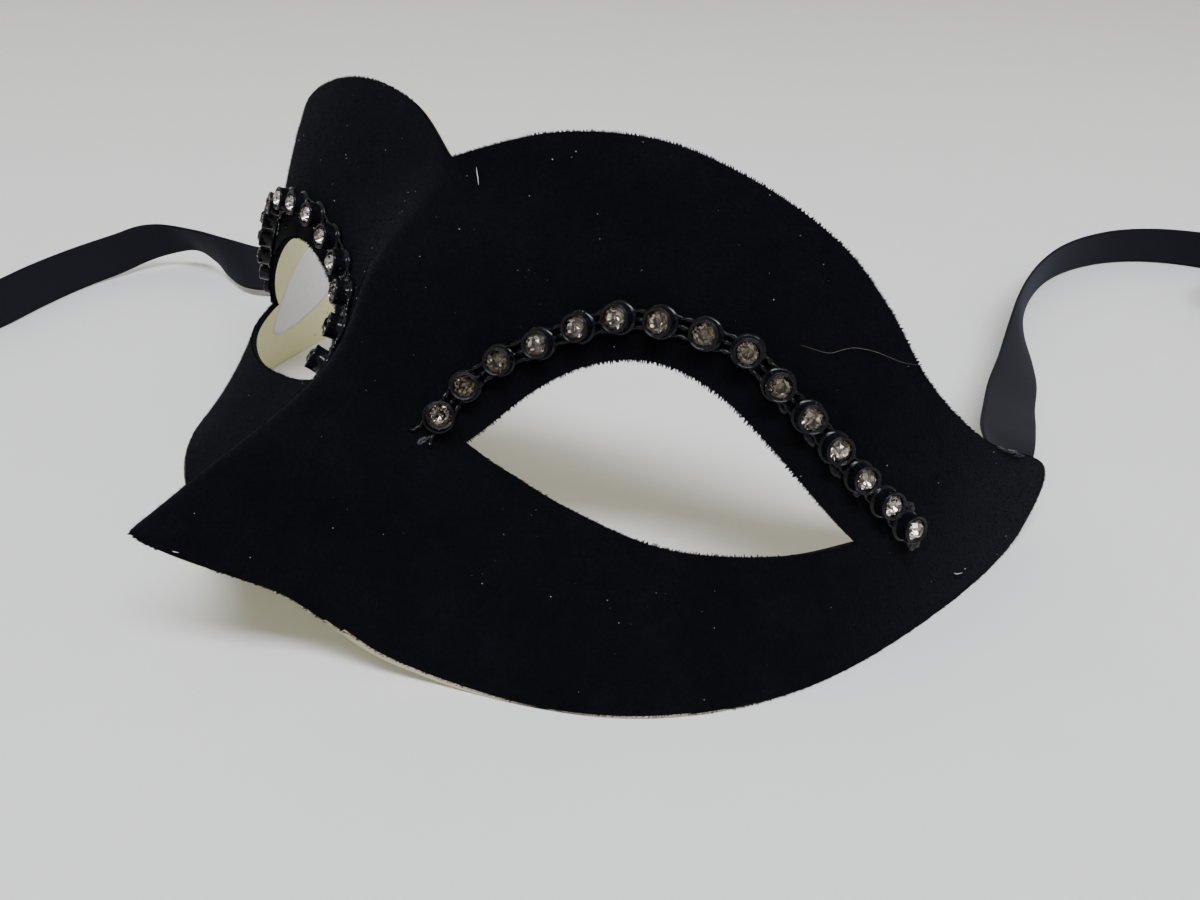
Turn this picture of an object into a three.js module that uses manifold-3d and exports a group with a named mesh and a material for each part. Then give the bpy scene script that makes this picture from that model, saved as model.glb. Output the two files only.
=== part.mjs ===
// A flocked masquerade half mask lying on a table, with a strip of set stones over each eye and two
// ribbon ties. Millimetres, +Z up, the wearer's left towards +X and the face towards -Y.
// The face is drawn in a frame of its own, (x, u): x sideways from the middle plane, u up the face.
// Its depth is a function of both, and the whole face then leans back until its lower edges lie on
// the table.
import * as THREE from "three";
import { mergeVertices } from "three/addons/utils/BufferGeometryUtils.js";
import Module from "manifold-3d";

const wasm = await Module();
wasm.setup();

// The moulded sheet, and how it lies
const SHEET_THICKNESS = 1.2;
const LEAN_BACK_DEG = 18;
const LIFT = 32.4;
const SHIFT_BACK = -6.7;

// Wrap round the head: a superellipse in plan
const WRAP_HALF_WIDTH = 90.6;
const WRAP_DEPTH = 179;
const WRAP_POWER = 4.09;

// Nose ridge: its height at even steps down the face, and how it falls away sideways
const RIDGE_TOP = 34;
const RIDGE_STEP = 16.5;
const RIDGE_HEIGHTS = [4.9, 16.6, 24, 44.9, 63.7];
const RIDGE_ROUNDING = 1.2;
const RIDGE_WIDTH_TOP = 12.3;
const RIDGE_WIDTH_TIP = 16.1;
const RIDGE_FALL = 1.26;

// Below its tip the nose turns under: by how much for each millimetre down, and how far out sideways
const TIP_HEIGHT = -21.1;
const UNDER_TURN = 0.9;
const UNDER_WIDTH = 4;

// Gentle bows of the brow and the cheeks, each over a reach of 45 mm
const BOW_REACH = 45;
const BROW_BOW = 8.5;
const CHEEK_TUCK = -9.6;
const TEMPLE_TWIST = -2.9;
const TEMPLE_BOW = 0.3;

// Half outline as cut, seen from the front: over the brow lobe, round the temple tip, under the cheek
const BROW_EDGE = [
  [0, 35.9],
  [15.4, 43.1],
  [32.8, 45.5],
  [48.3, 42.8],
  [60.7, 37.2],
  [68.6, 29.5],
  [75.2, 19.5],
  [82.1, 10.8],
];
const TEMPLE_TIP = [
  [87.6, 5],
  [88, -7.7],
];
const CHEEK_EDGE = [
  [86.6, -15.2],
  [84.3, -20],
  [76.1, -29.1],
  [59.8, -36.1],
  [39.8, -39.7],
  [23.8, -37.7],
  [12, -28.7],
  [0, TIP_HEIGHT],
];

// Eye opening, from its inner corner to its outer corner
const INNER_CORNER = [18.1, -6.3];
const OUTER_CORNER = [73.9, -7.1];
const UPPER_LID = [
  [23.4, 3],
  [31.4, 10.1],
  [41.6, 13.7],
  [51.8, 11.7],
  [62.2, 4.3],
];
const LOWER_LID = [
  [23.9, -9],
  [34.9, -12.2],
  [50.7, -13.6],
  [65.9, -10.8],
];

// Stone strips: the places of the fifteen cups of each strip, from beside the nose over the upper lid to
// the temple. The strips were glued on by hand, GLUE_GAP above the face, and differ a little.
const LEFT_CUPS = [
  [13.7, -3.4],
  [14.9, 2],
  [18.3, 7.3],
  [23.7, 11.6],
  [29.4, 15.8],
  [35.3, 18.9],
  [41.7, 20],
  [48.3, 20],
  [54.3, 19],
  [59.1, 15.2],
  [63.6, 11.5],
  [67.5, 7.6],
  [71.1, 3.7],
  [74.5, 0.1],
  [77.4, -3.6],
];
const RIGHT_CUPS = [
  [13.8, -3],
  [15, 2.9],
  [17.9, 8.6],
  [23, 13],
  [29.3, 16.5],
  [36, 19.3],
  [42.8, 20.1],
  [49.4, 19.8],
  [55.5, 17.8],
  [60.3, 14],
  [64.3, 9.4],
  [68, 4.8],
  [71.5, 0.4],
  [74.7, -3.6],
  [77.5, -7.2],
];
const GLUE_GAP = 0.5;
const CUP = { flange: 2.7, flangeHeight: 0.5, wall: 2.25, pocket: 1.95, floor: 0.9, height: 2.9, sides: 8 };
const WEB = { width: 3.2, low: 0.08, high: 0.42, inside: 1.7, stub: 4.4 };
const STONE = { girdle: 1.6, table: 0.9, pavilion: 1.3, crown: 0.9, clearance: 0.35, sides: 8 };

// Blank oval sticker inside the right temple
const STICKER = { at: [-78.8, -4], halfWidth: 4.4, halfHeight: 11.5, tilt: 0.12, gap: 0.3, thickness: 0.4 };

// Ribbon ties: [x, y, z, turn] along each route, where turn is how far the ribbon's width is turned
// up from level, in degrees, about its own run. Each starts glued inside its temple, swings out over
// the table on its edge, and ends in a coil that stands on its edge too.
const RIBBON = { width: 12, thickness: 1, edge: 0.4, step: 6 };
const LEFT_RIBBON = [
  [82.4, 43, 9.5, -90],
  [83.5, 52, 10.3, -82],
  [81.5, 61, 12.3, -52],
  [78.6, 71, 13.2, -24],
  [74.6, 86, 11, -20],
  [70.7, 100.5, 8.5, -24],
  [66.1, 120.5, 6.2, -34],
  [61.1, 138, 5.3, -50],
  [56, 154, 5.9, -70],
  [52.5, 168, 6.2, -84],
  [50, 186, 6.2, -94],
  [50, 204, 6.2, -100],
  [53.3, 219.5, 6.2, -102],
  [59.7, 233, 6.2, -102],
  [69.5, 243, 6.2, -102],
  [82.5, 248.6, 6.2, -100],
  [96, 249.6, 6.2, -94],
  [105, 249.2, 6.2, -90],
];
const RIGHT_RIBBON = [
  [-82.4, 43, 9.5, 90],
  [-83.9, 52, 9.8, 90],
  [-85.1, 60.5, 9.8, 90],
  [-86.1, 67, 9.7, 90],
  [-89.4, 71.4, 9.5, 90],
  [-95, 71.2, 9.2, 88],
  [-101.3, 65.2, 8.8, 82],
  [-107.2, 55.8, 8.3, 76],
  [-113.2, 46.4, 7.9, 68],
  [-122, 39.6, 7.6, 64],
  [-133.3, 38.4, 8.1, 90],
  [-144.3, 38.6, 9.2, 116],
  [-152, 37.2, 10, 128],
  [-157.4, 33.6, 9.5, 117],
  [-160.8, 28.5, 8.6, 104],
  [-162.2, 21.5, 7.2, 96],
  [-162.1, 9, 6.2, 92],
  [-157.8, -5, 6.2, 90],
  [-152.6, -17.5, 6.2, 90],
  [-149.2, -29, 6.2, 90],
  [-148, -33, 6.2, 90],
];
const COIL = { inner: 16.5, outer: 28.5, base: 0.2, sides: 24 };
const LEFT_COIL_AT = [117, 222];
const RIGHT_COIL_AT = [-175.5, -44];

// Mesh fineness of the sheet
const ROUND_BROW = 18;
const ROUND_CHEEK = 16;
const ROUND_NOSE = 6;
const ACROSS = [0, 0.16, 0.35, 0.55, 0.74, 0.9, 1];

const lean = THREE.MathUtils.degToRad(LEAN_BACK_DEG);

// Height of the nose ridge over the wrap at height u: a smooth line through RIDGE_HEIGHTS
function ridgeHeight(u) {
  const h = RIDGE_HEIGHTS;
  const place = THREE.MathUtils.clamp((RIDGE_TOP - u) / RIDGE_STEP, 0, h.length - 1.001);
  const i = Math.floor(place);
  const t = place - i;
  const before = h[Math.max(i - 1, 0)];
  const after = i + 2 < h.length ? h[i + 2] : 2 * h[i + 1] - h[i];
  const slopeIn = (h[i + 1] - before) / 2;
  const slopeOut = (after - h[i]) / 2;
  const rise = h[i + 1] - h[i];
  return h[i] + slopeIn * t + (3 * rise - 2 * slopeIn - slopeOut) * t ** 2 + (slopeIn + slopeOut - 2 * rise) * t ** 3;
}

// How far forward the face stands at (x, u)
function depth(x, u) {
  const side = Math.min(Math.abs(x) / WRAP_HALF_WIDTH, 0.9995);
  const wrap = -WRAP_DEPTH * (1 - (1 - side ** WRAP_POWER) ** (1 / WRAP_POWER));
  const down = THREE.MathUtils.clamp((RIDGE_TOP - u) / (4 * RIDGE_STEP), 0, 1.1);
  const width = RIDGE_WIDTH_TOP + (RIDGE_WIDTH_TIP - RIDGE_WIDTH_TOP) * down;
  const off = Math.hypot(x, RIDGE_ROUNDING) - RIDGE_ROUNDING;
  const nose = ridgeHeight(u) * Math.exp(-((off / width) ** RIDGE_FALL));
  const v = u / BOW_REACH;
  const w = x / BOW_REACH;
  const bows = BROW_BOW * v * v + CHEEK_TUCK * v ** 3 + (TEMPLE_TWIST * v + TEMPLE_BOW * v * v) * w * w;
  const under = UNDER_TURN * Math.max(TIP_HEIGHT - u, 0) * Math.exp(-((x / UNDER_WIDTH) ** 2));
  return wrap + nose + bows - under;
}

// The point of the outer surface at (x, u), in the part's frame
function onFace(x, u) {
  const f = depth(x, u);
  const y = u * Math.sin(lean) - f * Math.cos(lean) + SHIFT_BACK;
  const z = u * Math.cos(lean) + f * Math.sin(lean) + LIFT;
  return new THREE.Vector3(x, y, z);
}

// The outward normal of the outer surface at (x, u)
function faceNormal(x, u) {
  const step = 0.2;
  const across = onFace(x + step, u).sub(onFace(x - step, u));
  const up = onFace(x, u + step).sub(onFace(x, u - step));
  return across.cross(up).normalize();
}

// A smooth flat line through the points, as an array of count + 1 points spaced evenly along it
function smoothLine(points, count) {
  const line = new THREE.SplineCurve(points.map(([x, u]) => new THREE.Vector2(x, u)));
  line.arcLengthDivisions = 400;
  return line.getSpacedPoints(count);
}

// The outer loop of half the sheet: outline from the notch to the nose tip, then up the ridge
function outerLoop() {
  const tipAt = BROW_EDGE.length;
  const edge = new THREE.SplineCurve(
    [...BROW_EDGE, ...TEMPLE_TIP, ...CHEEK_EDGE].map(([x, u]) => new THREE.Vector2(x, u)),
  );
  const last = BROW_EDGE.length + TEMPLE_TIP.length + CHEEK_EDGE.length - 1;
  const loop = [];
  for (let i = 0; i < ROUND_BROW; i++) loop.push(edge.getPoint(((i / ROUND_BROW) * tipAt) / last));
  for (let i = 0; i < ROUND_CHEEK; i++) {
    loop.push(edge.getPoint((tipAt + (i / ROUND_CHEEK) * (last - tipAt)) / last));
  }
  const top = BROW_EDGE[0][1];
  const tip = CHEEK_EDGE[CHEEK_EDGE.length - 1][1];
  for (let i = 0; i < 2 * ROUND_NOSE; i++) {
    loop.push(new THREE.Vector2(0, tip + ((top - tip) * i) / (2 * ROUND_NOSE)));
  }
  return loop;
}

// The eye loop, point for point beside the outer loop
function eyeLoop() {
  const upper = smoothLine([INNER_CORNER, ...UPPER_LID, OUTER_CORNER], ROUND_BROW + ROUND_NOSE);
  const lower = smoothLine([INNER_CORNER, ...LOWER_LID, OUTER_CORNER], ROUND_CHEEK + ROUND_NOSE);
  return [
    ...upper.slice(ROUND_NOSE, -1),
    ...lower.slice(ROUND_NOSE + 1).reverse(),
    ...lower.slice(1, ROUND_NOSE + 1).reverse(),
    ...upper.slice(0, ROUND_NOSE),
  ];
}

// Indexed triangles as a manifold-3d solid, its shared vertices merged
function solidFrom(geometry) {
  const bare = geometry.clone();
  bare.deleteAttribute("normal");
  bare.deleteAttribute("uv");
  const merged = mergeVertices(bare, 1e-4);
  return new wasm.Manifold(
    new wasm.Mesh({
      numProp: 3,
      vertProperties: new Float32Array(merged.attributes.position.array),
      triVerts: new Uint32Array(merged.index.array),
    }),
  );
}

function geometryFrom(solid) {
  const mesh = solid.getMesh();
  const geometry = new THREE.BufferGeometry();
  const at = [];
  for (let i = 0; i < mesh.numVert; i++) {
    at.push(...mesh.vertProperties.subarray(i * mesh.numProp, i * mesh.numProp + 3));
  }
  geometry.setAttribute("position", new THREE.Float32BufferAttribute(at, 3));
  geometry.setIndex([...mesh.triVerts]);
  geometry.computeVertexNormals();
  return geometry;
}

// The sheet: each half is a ring of faces between its eye and its outer loop, with an outer skin, an
// inner skin one thickness behind it, and a rim that joins them along the cut edges.
function maskShell() {
  const outer = outerLoop();
  const eye = eyeLoop();
  const round = outer.length;
  const cut = ROUND_BROW + ROUND_CHEEK;
  const position = [];
  const index = [];
  for (const side of [1, -1]) {
    const first = position.length / 3;
    for (let i = 0; i < round; i++) {
      for (const t of ACROSS) {
        const at = eye[i].clone().lerp(outer[i], t);
        const skin = onFace(side * at.x, at.y);
        const inner = faceNormal(side * at.x, at.y).multiplyScalar(-SHEET_THICKNESS).add(skin);
        position.push(...skin.toArray(), ...inner.toArray());
      }
    }
    const id = (i, j, k) => first + 2 * ((i % round) * ACROSS.length + j) + k;
    const face = (a, b, c, d) => index.push(...(side > 0 ? [a, b, c, a, c, d] : [a, c, b, a, d, c]));
    const last = ACROSS.length - 1;
    for (let i = 0; i < round; i++) {
      for (let j = 0; j < last; j++) {
        face(id(i, j, 0), id(i + 1, j, 0), id(i + 1, j + 1, 0), id(i, j + 1, 0));
        face(id(i, j, 1), id(i, j + 1, 1), id(i + 1, j + 1, 1), id(i + 1, j, 1));
      }
      face(id(i, 0, 0), id(i, 0, 1), id(i + 1, 0, 1), id(i + 1, 0, 0));
      if (i < cut) face(id(i, last, 0), id(i + 1, last, 0), id(i + 1, last, 1), id(i, last, 1));
    }
  }
  const geometry = new THREE.BufferGeometry();
  geometry.setAttribute("position", new THREE.Float32BufferAttribute(position, 3));
  geometry.setIndex(index);
  const table = new THREE.BoxGeometry(400, 400, 50).translate(0, 0, -25);
  return geometryFrom(solidFrom(geometry).subtract(solidFrom(table)));
}

// The cups on one side of the mask. Each has its base point, the outward normal, the run of the strip,
// from the cup before to the cup after, and the direction across it.
function cupPlaces(cups, side) {
  const bases = cups.map(([x, u]) => onFace(side * x, u));
  return cups.map(([x, u], k) => {
    const out = faceNormal(side * x, u);
    const along = bases[Math.min(k + 1, cups.length - 1)].clone().sub(bases[Math.max(k - 1, 0)]);
    along.addScaledVector(out, -along.dot(out)).normalize();
    const across = out.clone().cross(along);
    return { base: bases[k].clone().addScaledVector(out, GLUE_GAP), out, along, across };
  });
}

// A point of a cup's own frame: a along the strip, c across it and h up from the cup's base
function atCup(place, a, c, h) {
  return place.base
    .clone()
    .addScaledVector(place.along, a)
    .addScaledVector(place.across, c)
    .addScaledVector(place.out, h);
}

// A turned profile of [radius, height] points standing on a cup's base
function turned(profile, sides, place) {
  const geometry = new THREE.LatheGeometry(
    profile.map(([radius, height]) => new THREE.Vector2(radius, height)),
    sides,
  );
  const frame = new THREE.Matrix4().makeBasis(place.along, place.out, place.across.clone().negate());
  return geometry.applyMatrix4(frame.setPosition(place.base));
}

// A closed bar between two ends, each a loop of four corners in the same turning order
function bar(start, end) {
  const geometry = new THREE.BufferGeometry();
  const corners = [...start, ...end].flatMap((corner) => corner.toArray());
  geometry.setAttribute("position", new THREE.Float32BufferAttribute(corners, 3));
  const sides = [0, 1, 2, 3].flatMap((i) => {
    const next = (i + 1) % 4;
    return [i, next, next + 4, i, next + 4, i + 4];
  });
  geometry.setIndex([2, 1, 0, 3, 2, 0, ...sides, 4, 5, 6, 4, 6, 7]);
  return geometry;
}

// The four corners of a web's end at distance a along the strip from a cup
function webEnd(place, a) {
  const half = WEB.width / 2;
  return [
    atCup(place, a, -half, WEB.low),
    atCup(place, a, half, WEB.low),
    atCup(place, a, half, WEB.high),
    atCup(place, a, -half, WEB.high),
  ];
}

// One moulded strip: a flanged cup at each place, a thin web between neighbours, and the web's cut
// stubs past both end cups
function strip(places) {
  const cup = [
    [0, 0],
    [CUP.flange, 0],
    [CUP.flange, CUP.flangeHeight],
    [CUP.wall, CUP.flangeHeight],
    [CUP.wall, CUP.height],
    [CUP.pocket, CUP.height],
    [CUP.pocket, CUP.floor],
    [0, CUP.floor],
  ];
  const first = places[0];
  const last = places[places.length - 1];
  const webs = [
    bar(webEnd(first, -WEB.stub), webEnd(first, -WEB.inside)),
    bar(webEnd(last, WEB.inside), webEnd(last, WEB.stub)),
  ];
  for (let k = 1; k < places.length; k++) {
    webs.push(bar(webEnd(places[k - 1], WEB.inside), webEnd(places[k], -WEB.inside)));
  }
  const cups = places.map((place) => turned(cup, CUP.sides, place));
  return geometryFrom([...cups, ...webs].map(solidFrom).reduce((all, next) => all.add(next)));
}

// A cut stone in its cup: pointed below, widest at the girdle, with a flat table on top
function stone(place) {
  const bottom = CUP.floor + STONE.clearance;
  const girdle = bottom + STONE.pavilion;
  const top = girdle + STONE.crown;
  const profile = [
    [0, bottom],
    [STONE.girdle, girdle],
    [STONE.table, top],
    [0, top],
  ];
  return turned(profile, STONE.sides, place);
}

// The oval sticker: a thin slab that follows the inner skin
function sticker() {
  const [x, u] = STICKER.at;
  const around = 20;
  const rings = 2;
  const near = SHEET_THICKNESS + STICKER.gap;
  const position = [];
  const index = [];
  const put = (a, b) => {
    const at = [x + a - STICKER.tilt * b, u + b];
    for (const behind of [near, near + STICKER.thickness]) {
      position.push(...faceNormal(...at).multiplyScalar(-behind).add(onFace(...at)).toArray());
    }
  };
  put(0, 0);
  for (let r = 1; r <= rings; r++) {
    for (let i = 0; i < around; i++) {
      const turn = (2 * Math.PI * i) / around;
      const reach = r / rings;
      put(STICKER.halfWidth * reach * Math.cos(turn), STICKER.halfHeight * reach * Math.sin(turn));
    }
  }
  const id = (r, i, k) => 2 * (1 + (r - 1) * around + (i % around)) + k;
  const both = (a, b, c) => index.push(a, b, c, a + 1, c + 1, b + 1);
  for (let i = 0; i < around; i++) {
    both(0, id(1, i, 0), id(1, i + 1, 0));
    both(id(1, i, 0), id(2, i, 0), id(2, i + 1, 0));
    both(id(1, i, 0), id(2, i + 1, 0), id(1, i + 1, 0));
    index.push(id(2, i, 0), id(2, i, 1), id(2, i + 1, 1), id(2, i, 0), id(2, i + 1, 1), id(2, i + 1, 0));
  }
  const geometry = new THREE.BufferGeometry();
  geometry.setAttribute("position", new THREE.Float32BufferAttribute(position, 3));
  geometry.setIndex(index);
  return geometry;
}

// A smooth route that turns the ribbon about its run: the section's x goes along the ribbon's width
class RibbonRoute extends THREE.CatmullRomCurve3 {
  constructor(route) {
    super(route.map(([x, y, z]) => new THREE.Vector3(x, y, z)));
    this.turns = route.map((point) => THREE.MathUtils.degToRad(point[3]));
  }

  turnAt(reach) {
    const place = this.getUtoTmapping(reach) * (this.turns.length - 1);
    const i = Math.min(Math.floor(place), this.turns.length - 2);
    return THREE.MathUtils.lerp(this.turns[i], this.turns[i + 1], place - i);
  }

  computeFrenetFrames(steps) {
    const frames = { tangents: [], normals: [], binormals: [] };
    for (let i = 0; i <= steps; i++) {
      const tangent = this.getTangentAt(i / steps);
      const level = tangent.clone().cross(new THREE.Vector3(0, 0, 1)).normalize();
      const upright = level.clone().cross(tangent);
      const turn = this.turnAt(i / steps);
      const width = level.multiplyScalar(Math.cos(turn)).addScaledVector(upright, Math.sin(turn));
      frames.tangents.push(tangent);
      frames.normals.push(width);
      frames.binormals.push(tangent.clone().cross(width));
    }
    return frames;
  }
}

// A flat ribbon with softened edges along its route
function ribbon(points) {
  const half = RIBBON.width / 2;
  const thick = RIBBON.thickness / 2;
  const inner = half - RIBBON.edge;
  const thin = thick - RIBBON.edge / 2;
  const section = new THREE.Shape(
    [
      [half, -thin],
      [half, thin],
      [inner, thick],
      [-inner, thick],
      [-half, thin],
      [-half, -thin],
      [-inner, -thick],
      [inner, -thick],
    ].map(([x, y]) => new THREE.Vector2(x, y)),
  );
  const route = new RibbonRoute(points);
  const steps = Math.round(route.getLength() / RIBBON.step);
  return new THREE.ExtrudeGeometry(section, { steps, extrudePath: route, bevelEnabled: false });
}

// The outer shape of a ribbon's coil, which stands on its edge
function coil([x, y]) {
  const profile = [
    [COIL.inner, 0],
    [COIL.outer, 0],
    [COIL.outer, RIBBON.width],
    [COIL.inner, RIBBON.width],
    [COIL.inner, 0],
  ].map(([radius, height]) => new THREE.Vector2(radius, height));
  return new THREE.LatheGeometry(profile, COIL.sides).rotateX(Math.PI / 2).translate(x, y, COIL.base);
}

const flock = new THREE.MeshStandardMaterial({ color: 0x0e0d10, roughness: 1, metalness: 0 });
const blackPlastic = new THREE.MeshStandardMaterial({ color: 0x0b0b0c, roughness: 0.18, metalness: 0 });
const crystal = new THREE.MeshStandardMaterial({ color: 0xd8d2cc, roughness: 0.05, metalness: 0.3 });
const paper = new THREE.MeshStandardMaterial({ color: 0xd9d6da, roughness: 0.6, metalness: 0 });
const satin = new THREE.MeshStandardMaterial({ color: 0x27272f, roughness: 0.5, metalness: 0 });
const mask = new THREE.Group();

function addMesh(name, geometry, material) {
  const mesh = new THREE.Mesh(geometry, material);
  mesh.name = name;
  mask.add(mesh);
}

addMesh("mask_shell", maskShell(), flock);

function addStrip(name, places) {
  addMesh(`${name}_rhinestone_strip`, strip(places), blackPlastic);
  places.forEach((place, k) => {
    addMesh(`${name}_stone_${String(k + 1).padStart(2, "0")}`, stone(place), crystal);
  });
}

addStrip("left", cupPlaces(LEFT_CUPS, 1));
addStrip("right", cupPlaces(RIGHT_CUPS, -1));
addMesh("inner_sticker", sticker(), paper);
addMesh("left_ribbon", ribbon(LEFT_RIBBON), satin);
addMesh("left_ribbon_coil", coil(LEFT_COIL_AT), satin);
addMesh("right_ribbon", ribbon(RIGHT_RIBBON), satin);
addMesh("right_ribbon_coil", coil(RIGHT_COIL_AT), satin);

export default mask;
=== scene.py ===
# %% [markdown]
# A masquerade eye mask, lying loose on a pale table. It is a moulded cream sheet with black flock on
# its outside, a strip of set stones glued over each eye opening, and a ribbon tie at each temple.
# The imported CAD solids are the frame: every piece below is made in the same place and at the same
# size, only finer. Lengths are written in millimetres and become metres when a mesh is made.

# %% Load the frame
import math

import bpy
import numpy as np
from mathutils import Matrix, Vector


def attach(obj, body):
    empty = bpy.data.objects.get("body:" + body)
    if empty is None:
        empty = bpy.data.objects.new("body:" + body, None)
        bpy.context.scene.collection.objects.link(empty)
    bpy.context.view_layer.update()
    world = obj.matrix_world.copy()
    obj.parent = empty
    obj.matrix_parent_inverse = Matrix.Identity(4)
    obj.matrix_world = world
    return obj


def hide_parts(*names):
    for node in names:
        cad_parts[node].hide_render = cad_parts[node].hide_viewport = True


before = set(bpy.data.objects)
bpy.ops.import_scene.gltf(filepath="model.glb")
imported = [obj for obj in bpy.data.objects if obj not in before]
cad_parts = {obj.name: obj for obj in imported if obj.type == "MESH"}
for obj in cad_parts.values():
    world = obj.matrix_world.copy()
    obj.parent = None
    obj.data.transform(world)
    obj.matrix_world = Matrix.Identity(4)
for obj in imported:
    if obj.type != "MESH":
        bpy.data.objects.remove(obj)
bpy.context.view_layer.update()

MM = 0.001

# %% [markdown]
# The photograph was taken from the front left and above, with a short lens held close, so the near
# half of the mask looks much larger than the far half. The camera repeats that place and lens.
# A camera's own axes are right, up and backwards, so its matrix is made from those three directions.

# %% Camera
VIEW_TARGET = (26.7, 6.3, 20.3)
VIEW_DISTANCE = 178.6
VIEW_AZIMUTH_DEG = 37.1
VIEW_ELEVATION_DEG = 30.75
VIEW_ROLL_DEG = 1.66
SENSOR_WIDTH = 36
LENS = 30.26
NEAREST_SEEN = 10


def add_camera():
    """Looks at the target from an azimuth round Z and an elevation, then rolls about the line of sight."""
    azimuth = math.radians(VIEW_AZIMUTH_DEG)
    elevation = math.radians(VIEW_ELEVATION_DEG)
    back = Vector((
        math.sin(azimuth) * math.cos(elevation),
        -math.cos(azimuth) * math.cos(elevation),
        math.sin(elevation),
    ))
    right = Vector((0, 0, 1)).cross(back).normalized()
    up = back.cross(right)
    axes = Matrix((right, up, back)).transposed() @ Matrix.Rotation(math.radians(VIEW_ROLL_DEG), 3, "Z")
    data = bpy.data.cameras.new("photo_camera")
    data.sensor_width = SENSOR_WIDTH
    data.lens = LENS
    data.clip_start = NEAREST_SEEN * MM
    camera = bpy.data.objects.new("photo_camera", data)
    place = (Vector(VIEW_TARGET) + back * VIEW_DISTANCE) * MM
    camera.matrix_world = Matrix.Translation(place) @ axes.to_4x4()
    bpy.context.scene.collection.objects.link(camera)
    bpy.context.scene.camera = camera
    return camera


camera = add_camera()
print("Camera at", [round(v / MM, 1) for v in camera.location])

# %% [markdown]
# Every surface here is worked out as whole arrays of points. Small helpers turn a grid of points into
# faces and put arrays into a mesh, so that each later step only has to say where its points are. Others
# serve all the lines of the mask: a cubic between two points, and even steps along a line or a circle.

# %% Helpers that make meshes
def unit(vectors):
    """Vectors of the same directions and length one."""
    return vectors / np.linalg.norm(vectors, axis=-1, keepdims=True)


def round_angles(count):
    """Angles at even steps round a circle."""
    return np.arange(count) * 2 * math.pi / count


def cubic(start, stop, leave, arrive, t):
    """From start to stop as t goes from 0 to 1, with the slopes leave and arrive at its two ends."""
    rise = stop - start
    return start + leave * t + (3 * rise - 2 * leave - arrive) * t**2 + (leave + arrive - 2 * rise) * t**3


def run_length(line):
    """How far each point of a line lies along it."""
    return np.concatenate([[0], np.cumsum(np.linalg.norm(np.diff(line, axis=0), axis=1))])


def at_lengths(line, run, wanted):
    """The points of a line at the wanted lengths along it, by straight steps between its points."""
    return np.stack([np.interp(wanted, run, column) for column in line.T], axis=-1)


def grid_faces(rows, columns, wrap_rows=False, wrap_columns=False):
    """Quads between neighbouring points of a grid that is stored row by row."""
    row = np.arange(rows if wrap_rows else rows - 1)
    column = np.arange(columns if wrap_columns else columns - 1)
    i, j = np.meshgrid(row, column, indexing="ij")
    i_next = (i + 1) % rows
    j_next = (j + 1) % columns
    corners = [i * columns + j, i_next * columns + j, i_next * columns + j_next, i * columns + j_next]
    return np.stack(corners, axis=-1).reshape(-1, 4)


def copies(faces, count, stride):
    """The same faces for each of count equal blocks of points."""
    shift = np.arange(count)[:, None, None] * stride
    return (np.asarray(faces)[None] + shift).reshape(-1, np.shape(faces)[1])


def mesh_piece(name, points, faces, smooth=True, material_index=None):
    """A mesh object at the origin, from points in mm and a list of face arrays, each of one corner count."""
    points = np.asarray(points, dtype=float).reshape(-1, 3)
    faces = [np.asarray(part, dtype=np.int32) for part in faces]
    loops = np.concatenate([part.ravel() for part in faces])
    sizes = np.concatenate([np.full(len(part), part.shape[1], dtype=np.int32) for part in faces])
    starts = np.concatenate([[0], np.cumsum(sizes)[:-1]]).astype(np.int32)
    mesh = bpy.data.meshes.new(name)
    mesh.vertices.add(len(points))
    mesh.vertices.foreach_set("co", (points * MM).astype(np.float32).ravel())
    mesh.loops.add(len(loops))
    mesh.loops.foreach_set("vertex_index", loops)
    mesh.polygons.add(len(sizes))
    mesh.polygons.foreach_set("loop_start", starts)
    mesh.polygons.foreach_set("use_smooth", np.full(len(sizes), smooth))
    if material_index is not None:
        mesh.polygons.foreach_set("material_index", np.asarray(material_index, dtype=np.int32))
    mesh.update(calc_edges=True)
    piece = bpy.data.objects.new(name, mesh)
    bpy.context.scene.collection.objects.link(piece)
    return piece


def weld(points, faces):
    """Makes points that lie in one place into one point, and drops the points that no face uses."""
    used, back = np.unique(faces, return_inverse=True)
    keys = np.round(points[used], 5)
    _, first, merged = np.unique(keys, axis=0, return_index=True, return_inverse=True)
    return points[used][first], merged.ravel()[back].reshape(faces.shape)


def describe(piece):
    """Prints the size of a mesh and how many of its edges aren't shared by exactly two faces."""
    mesh = piece.data
    corners = np.empty(len(mesh.loops), dtype=np.int32)
    mesh.loops.foreach_get("vertex_index", corners)
    edges = np.empty(len(mesh.loops), dtype=np.int32)
    mesh.loops.foreach_get("edge_index", edges)
    sizes = np.empty(len(mesh.polygons), dtype=np.int32)
    mesh.polygons.foreach_get("loop_total", sizes)
    open_edges = int(np.sum(np.bincount(edges) != 2))
    print(f"{piece.name}: {int(np.sum(sizes - 2))} triangles, {open_edges} open edges")
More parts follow.
